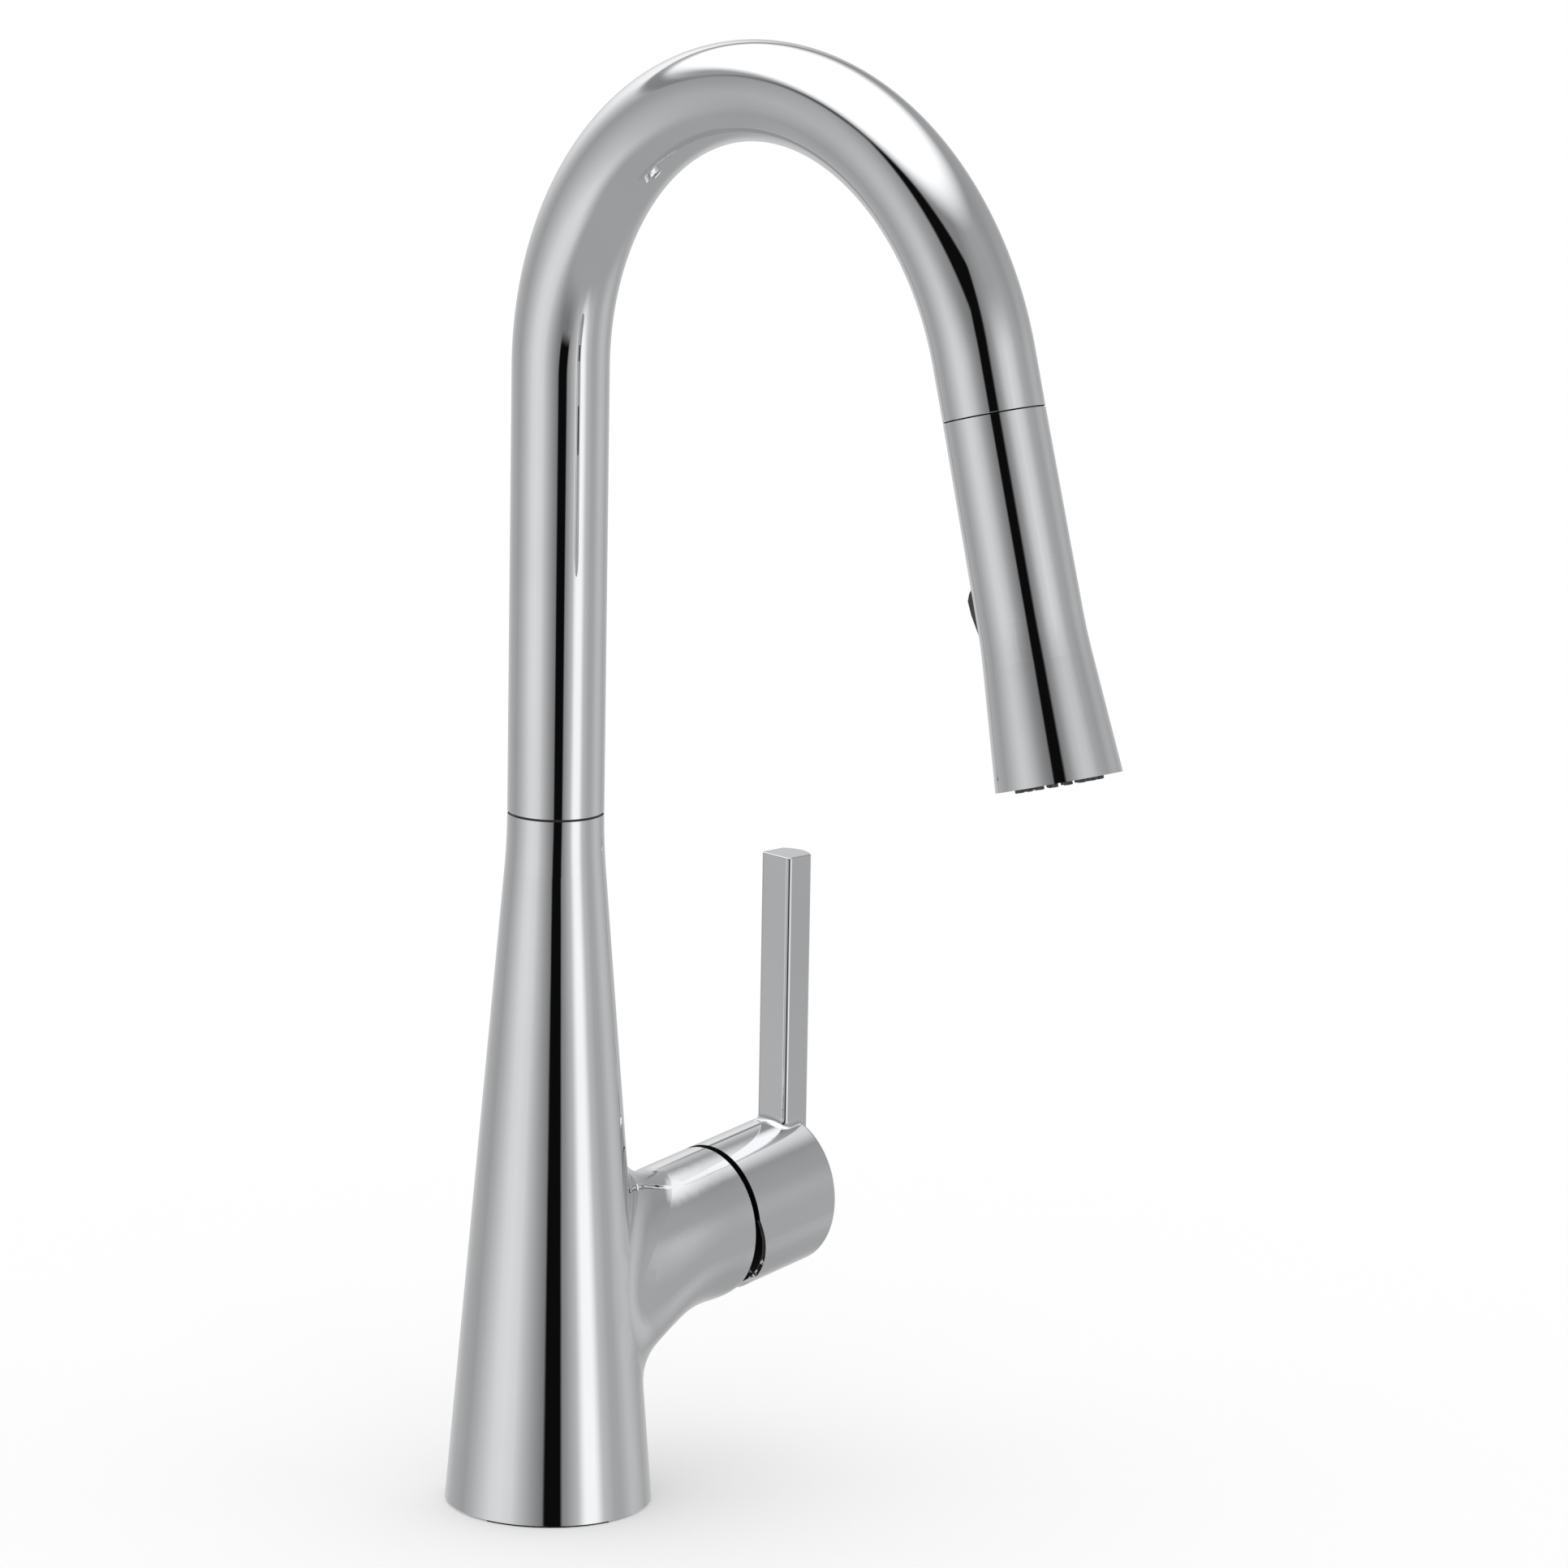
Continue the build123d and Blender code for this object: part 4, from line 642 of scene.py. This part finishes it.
# A pipe that runs up the column, over the arch and down the outlet. It is measured along its
# middle from the deck, and its wall is closed: out along the outside and back along the bore.
def pipeTree(sizes):
    tree, size = startTree("pipeAlongSpout", sizes)
    sheet, row, around = startSheet(tree, calc(tree, "MULTIPLY", size["rows"], 2), size["sides"])
    inside = calc(tree, "GREATER_THAN", row, calc(tree, "ADD", size["rows"], -0.5))
    back = calc(tree, "SUBTRACT", calc(tree, "MULTIPLY_ADD", size["rows"], 2, -1), row)
    step = layOver(tree, row, back, inside)
    first = calc(tree, "LESS_THAN", step, 0.5)
    last = calc(tree, "GREATER_THAN", step, calc(tree, "ADD", size["rows"], -1.5))
    share = calc(tree, "DIVIDE", calc(tree, "ADD", step, -1), calc(tree, "ADD", size["rows"], -3))
    share = calc(tree, "MINIMUM", calc(tree, "MAXIMUM", share, 0), 1)
    low = calc(tree, "ADD", size["from"], size["edge"])
    high = calc(tree, "SUBTRACT", size["to"], size["edge"])
    along = layOver(tree, low, high, share)
    along = calc(tree, "MULTIPLY_ADD", calc(tree, "SUBTRACT", last, first), size["edge"], along)
    trim = calc(tree, "MULTIPLY", calc(tree, "ADD", last, first), size["edge"])
    radius = layOver(tree, calc(tree, "SUBTRACT", size["outer"], trim),
                     calc(tree, "ADD", size["inner"], trim), inside)

    past = calc(tree, "SUBTRACT", along, size["arch start"])
    bent = calc(tree, "DIVIDE", past, size["arch radius"])
    bent = calc(tree, "MINIMUM", calc(tree, "MAXIMUM", bent, 0), size["arch turn"])
    rest = calc(tree, "SUBTRACT", past, calc(tree, "MULTIPLY", bent, size["arch radius"]))
    sine, cosine = calc(tree, "SINE", bent), calc(tree, "COSINE", bent)
    angle = calc(tree, "MULTIPLY", around, 2 * math.pi)
    across = calc(tree, "MULTIPLY", calc(tree, "COSINE", angle), radius)
    proud = calc(tree, "MULTIPLY", calc(tree, "SINE", angle), radius)
    reach = calc(tree, "ADD", size["arch radius"], proud)
    out = calc(tree, "SUBTRACT", calc(tree, "MULTIPLY", reach, cosine), size["arch radius"])
    out = calc(tree, "SUBTRACT", out, calc(tree, "MULTIPLY", rest, sine))
    up = calc(tree, "MULTIPLY_ADD", reach, sine, size["arch start"])
    up = calc(tree, "MULTIPLY_ADD", rest, cosine, up)
    place = putNode(tree, "ShaderNodeCombineXYZ", {0: across, 1: out, 2: up}).outputs[0]
    pulled = fade(tree, along, size["pull from"], size["pull to"])
    mark = calc(tree, "MULTIPLY_ADD", pulled, size["pull"], along)
    endTree(tree, wrapSheet(tree, sheet, around, mark, place), size["finish"])
    return tree


# A threaded tube: the outside follows the screw line, and two more rows close the bore.
def threadTree(sizes):
    shape = {"flat": 0.14, "flank": 0.74}       # shares of half a turn
    tree, size = startTree("threadOnShank", sizes)
    sheet, row, around = startSheet(tree, calc(tree, "ADD", size["rows"], 2), size["sides"])
    inside = calc(tree, "GREATER_THAN", row, calc(tree, "ADD", size["rows"], -0.5))
    share = calc(tree, "DIVIDE", row, calc(tree, "ADD", size["rows"], -1))
    back = calc(tree, "SUBTRACT", calc(tree, "ADD", size["rows"], 1), row)
    share = layOver(tree, calc(tree, "MINIMUM", share, 1), back, inside)
    along = layOver(tree, size["low"], size["high"], share)
    turns = calc(tree, "ADD", calc(tree, "DIVIDE", along, size["pitch"]), around)
    flank = calc(tree, "MULTIPLY_ADD", calc(tree, "FRACT", calc(tree, "ADD", turns, 100)), 2, -1)
    flank = calc(tree, "ABSOLUTE", flank)
    flank = calc(tree, "DIVIDE", calc(tree, "ADD", flank, -shape["flat"]), shape["flank"])
    flank = calc(tree, "MINIMUM", calc(tree, "MAXIMUM", flank, 0), 1)
    plain = fade(tree, along, size["thread end"],
                 calc(tree, "ADD", size["thread end"], size["pitch"]))
    flank = calc(tree, "MULTIPLY", flank, calc(tree, "SUBTRACT", 1.0, plain))
    radius = calc(tree, "SUBTRACT", size["crest"], calc(tree, "MULTIPLY", flank, size["depth"]))
    lead = calc(tree, "ADD", calc(tree, "SUBTRACT", size["crest"], size["lead"]),
                calc(tree, "SUBTRACT", along, size["low"]))
    radius = layOver(tree, calc(tree, "MINIMUM", radius, lead), size["bore"], inside)
    angle = calc(tree, "MULTIPLY", around, 2 * math.pi)
    place = putNode(tree, "ShaderNodeCombineXYZ",
                    {0: calc(tree, "MULTIPLY", calc(tree, "COSINE", angle), radius),
                     1: calc(tree, "MULTIPLY", calc(tree, "SINE", angle), radius),
                     2: along}).outputs[0]
    endTree(tree, wrapSheet(tree, sheet, around, along, place), size["finish"])
    return tree


# A turned ring with a rounded section. Heights are measured down the spray head.
def turnedRing(tree, inner, outer, top, bottom, soften, sides):
    middle = calc(tree, "MULTIPLY", calc(tree, "ADD", inner, outer), 0.5)
    half = calc(tree, "MULTIPLY", calc(tree, "SUBTRACT", outer, inner), 0.5)
    low = calc(tree, "MULTIPLY", bottom, -1)
    high = calc(tree, "MULTIPLY", top, -1)
    corners = {}
    signs = ((-1, low), (1, low), (1, high), (-1, high))
    for count, (sign, height) in enumerate(signs):
        corner = {0: calc(tree, "MULTIPLY", half, sign), 1: height}
        corners[f"Point {count + 1}"] = putNode(tree, "ShaderNodeCombineXYZ", corner).outputs[0]
    section = putNode(tree, "GeometryNodeCurvePrimitiveQuadrilateral", corners, mode="POINTS")
    section = putNode(tree, "GeometryNodeFilletCurve",
                      {"Curve": section.outputs[0], "Radius": soften, "Count": 3,
                       "Limit Radius": True}, mode="POLY")
    path = putNode(tree, "GeometryNodeCurvePrimitiveCircle", {"Resolution": sides, "Radius": middle})
    ring = putNode(tree, "GeometryNodeCurveToMesh",
                   {"Curve": path.outputs[0], "Profile Curve": section.outputs[0]}).outputs[0]
    return putNode(tree, "GeometryNodeSetShadeSmooth", {0: ring}).outputs[0]


# The rubber mat of the spray face: a ring-shaped sheet with two rings of nozzles standing on it.
def nozzleTree(sizes, rings, sides=(96, 20)):
    tree, size = startTree("nozzlesOnMat", sizes)
    mat = turnedRing(tree, size["mat inner"], size["mat outer"], size["mat top"],
                     size["mat bottom"], size["mat edge"], sides[0])
    sleeve = turnedRing(tree, size["nozzle bore"], size["nozzle outer"], size["mat top"],
                        size["nozzle tip"], size["nozzle edge"], sides[1])
    lip = turnedRing(tree, size["nozzle bore"], size["foot outer"], size["mat bottom"],
                     size["foot bottom"], size["nozzle edge"], sides[1])
    nozzle = putNode(tree, "GeometryNodeJoinGeometry")
    tree.links.new(sleeve, nozzle.inputs[0])
    tree.links.new(lip, nozzle.inputs[0])
    joined = putNode(tree, "GeometryNodeJoinGeometry")
    tree.links.new(mat, joined.inputs[0])
    for radius, count in rings:
        spots = putNode(tree, "GeometryNodeMeshCircle", {"Vertices": count, "Radius": radius})
        placed = putNode(tree, "GeometryNodeInstanceOnPoints",
                         {"Points": spots.outputs[0], "Instance": nozzle.outputs[0]})
        tree.links.new(placed.outputs[0], joined.inputs[0])
    lean = putNode(tree, "ShaderNodeCombineXYZ", {0: size["lean"]}).outputs[0]
    lean = putNode(tree, "FunctionNodeEulerToRotation", {0: lean}).outputs[0]
    placed = putNode(tree, "GeometryNodeTransform",
                     {"Geometry": joined.outputs[0], "Rotation": lean, "Translation": outletSeam})
    endTree(tree, placed.outputs[0], size["finish"])
    return tree


# The spout's middle line: up, over the arch, and down a short straight leg to the head's seam.
tubeLow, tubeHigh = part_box("spout_tube")
spoutPath = {
    "arch radius": 0.0873,
    "arch turn": math.radians(163.8),
    "leg": 0.0154,
}
spoutPath["outer"] = tubeHigh[0]
spoutPath["from"] = tubeLow[2]
spoutPath["arch start"] = tubeHigh[2] - spoutPath["outer"] - spoutPath["arch radius"]
spoutPath["to"] = (spoutPath["arch start"] + spoutPath["leg"]
                   + spoutPath["arch radius"] * spoutPath["arch turn"])
outletWay = Vector((0, -math.sin(spoutPath["arch turn"]), math.cos(spoutPath["arch turn"])))
outletSeam = Vector((0, spoutPath["arch radius"] * (outletWay.z - 1),
                     spoutPath["arch start"] - spoutPath["arch radius"] * outletWay.y))
outletSeam += outletWay * spoutPath["leg"]

makeCamera()
makeStudio()
makeSoftbox()
makeFloor()
print("studio, softbox, floor and camera made")

finishes = {
    "chrome_plate": chromePlate("chromePlate"),
    "brass": turnedBrass("turnedBrass"),
    "steel": machinedSteel("machinedSteel"),
    "copper": drawnCopper("drawnCopper"),
    "dark_plastic": darkPlastic("darkPlastic"),
    "white_plastic": whitePlastic("whitePlastic"),
    "grey_plastic": greyPlastic("greyPlastic"),
    "dark_rubber": dustyRubber("dustyRubber"),
    "nozzle_silicone": nozzleSilicone("nozzleSilicone"),
    "hose_cover": hoseCover("hoseCover"),
    "ceramic": firedCeramic("firedCeramic"),
    "magnet_metal": magnetNickel("magnetNickel"),
}
ownFinishes = {
    "body_casting": chromePlate("chromeWithCastAndShadedMouth", hubCastAndShade),
    "lever_handle": chromePlate("chromeWithCastAndShadedCap", hubCastAndShade),
    # The bonnet ring in the hub's seam is near-black nearly all over: painted shade.
    "bonnet_ring": chromePlate("shadedBonnet", lambda tree: 0.92),   # dark nearly all over
}
for part in frame["record"]["subparts"]:
    name = part["node"]
    piece = nodes[name]
    for place in piece.material_slots:
        place.material = ownFinishes.get(name, finishes[part["material_slot"]])
print("finishes laid on the carried-over pieces")


def growSpout():
    settings = {"inner": 0.0128, "edge": 0.0002, "rows": 230, "sides": 96,
                "pull from": 0.0, "pull to": 1.0, "pull": 0.0}
    sizes = {**spoutPath, **settings, "finish": chromePlate("chromeTube", tubeEndShade)}
    sizes.pop("leg")
    tube = growPiece("spoutTube", pipeTree(sizes), sizes)
    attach(tube, "spout")
    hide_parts("spout_tube")


# The hose in the spout, and its moving end at the outlet, grown as a piece of its own. The cover's
# pattern is laid out for the full pull.
def growHose():
    settings = {"outer": 0.0055, "inner": 0.0035, "edge": 0.0003, "sides": 48}
    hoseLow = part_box("pull_down_hose")[0][2]
    moving = spoutPath["to"] - 0.013            # where the hose's moving end starts
    stretch = {"pull from": moving + 0.0005, "pull to": moving + 0.0165, "pull": 0.4}
    sizes = {**spoutPath, **settings, **stretch, "finish": finishes["hose_cover"],
             "from": hoseLow, "to": moving, "rows": 300}
    sizes.pop("leg")
    tree = pipeTree(sizes)
    run = growPiece("hoseRun", tree, sizes)
    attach(run, "spout")
    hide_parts("pull_down_hose")
    sizes.update({"from": moving, "to": moving + 0.0176, "rows": 60})
    end = growPiece("hosePull", tree, sizes)
    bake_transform(end)
    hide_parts("hose_tail")


def growNozzles():
    sizes = {"mat inner": 0.0064, "mat outer": 0.0136, "mat top": 0.0954, "mat bottom": 0.09675,
             "mat edge": 0.0003, "nozzle outer": 0.00084, "nozzle bore": 0.00035,
             "nozzle tip": 0.1013, "nozzle edge": 0.00022, "foot outer": 0.0009,
             "foot bottom": 0.0996, "lean": spoutPath["arch turn"],
             "finish": finishes["nozzle_silicone"]}
    rings = ((0.0082, 12), (0.0113, 18))        # radius and number of nozzles
    mat = growPiece("nozzleMat", nozzleTree(sizes, rings), sizes, sharp=40)
    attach(mat, "spray_head")
    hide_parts("nozzle_mat")


def growShank():
    low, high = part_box("mounting_shank")
    sizes = {"low": low[2], "high": high[2], "crest": high[0], "bore": 0.015, "pitch": 0.0015,
             "depth": 0.00085, "thread end": -0.002, "lead": 0.0008, "rows": 380, "sides": 72,
             "finish": finishes["brass"]}
    shank = growPiece("threadedShank", threadTree(sizes), sizes, sharp=50)
    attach(shank, "faucet_body")
    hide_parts("mounting_shank")


growSpout()
growHose()
print("spout tube and hose grown")
growNozzles()
growShank()
print("nozzles and thread grown")

bpy.context.scene.view_settings.view_transform = "Standard"
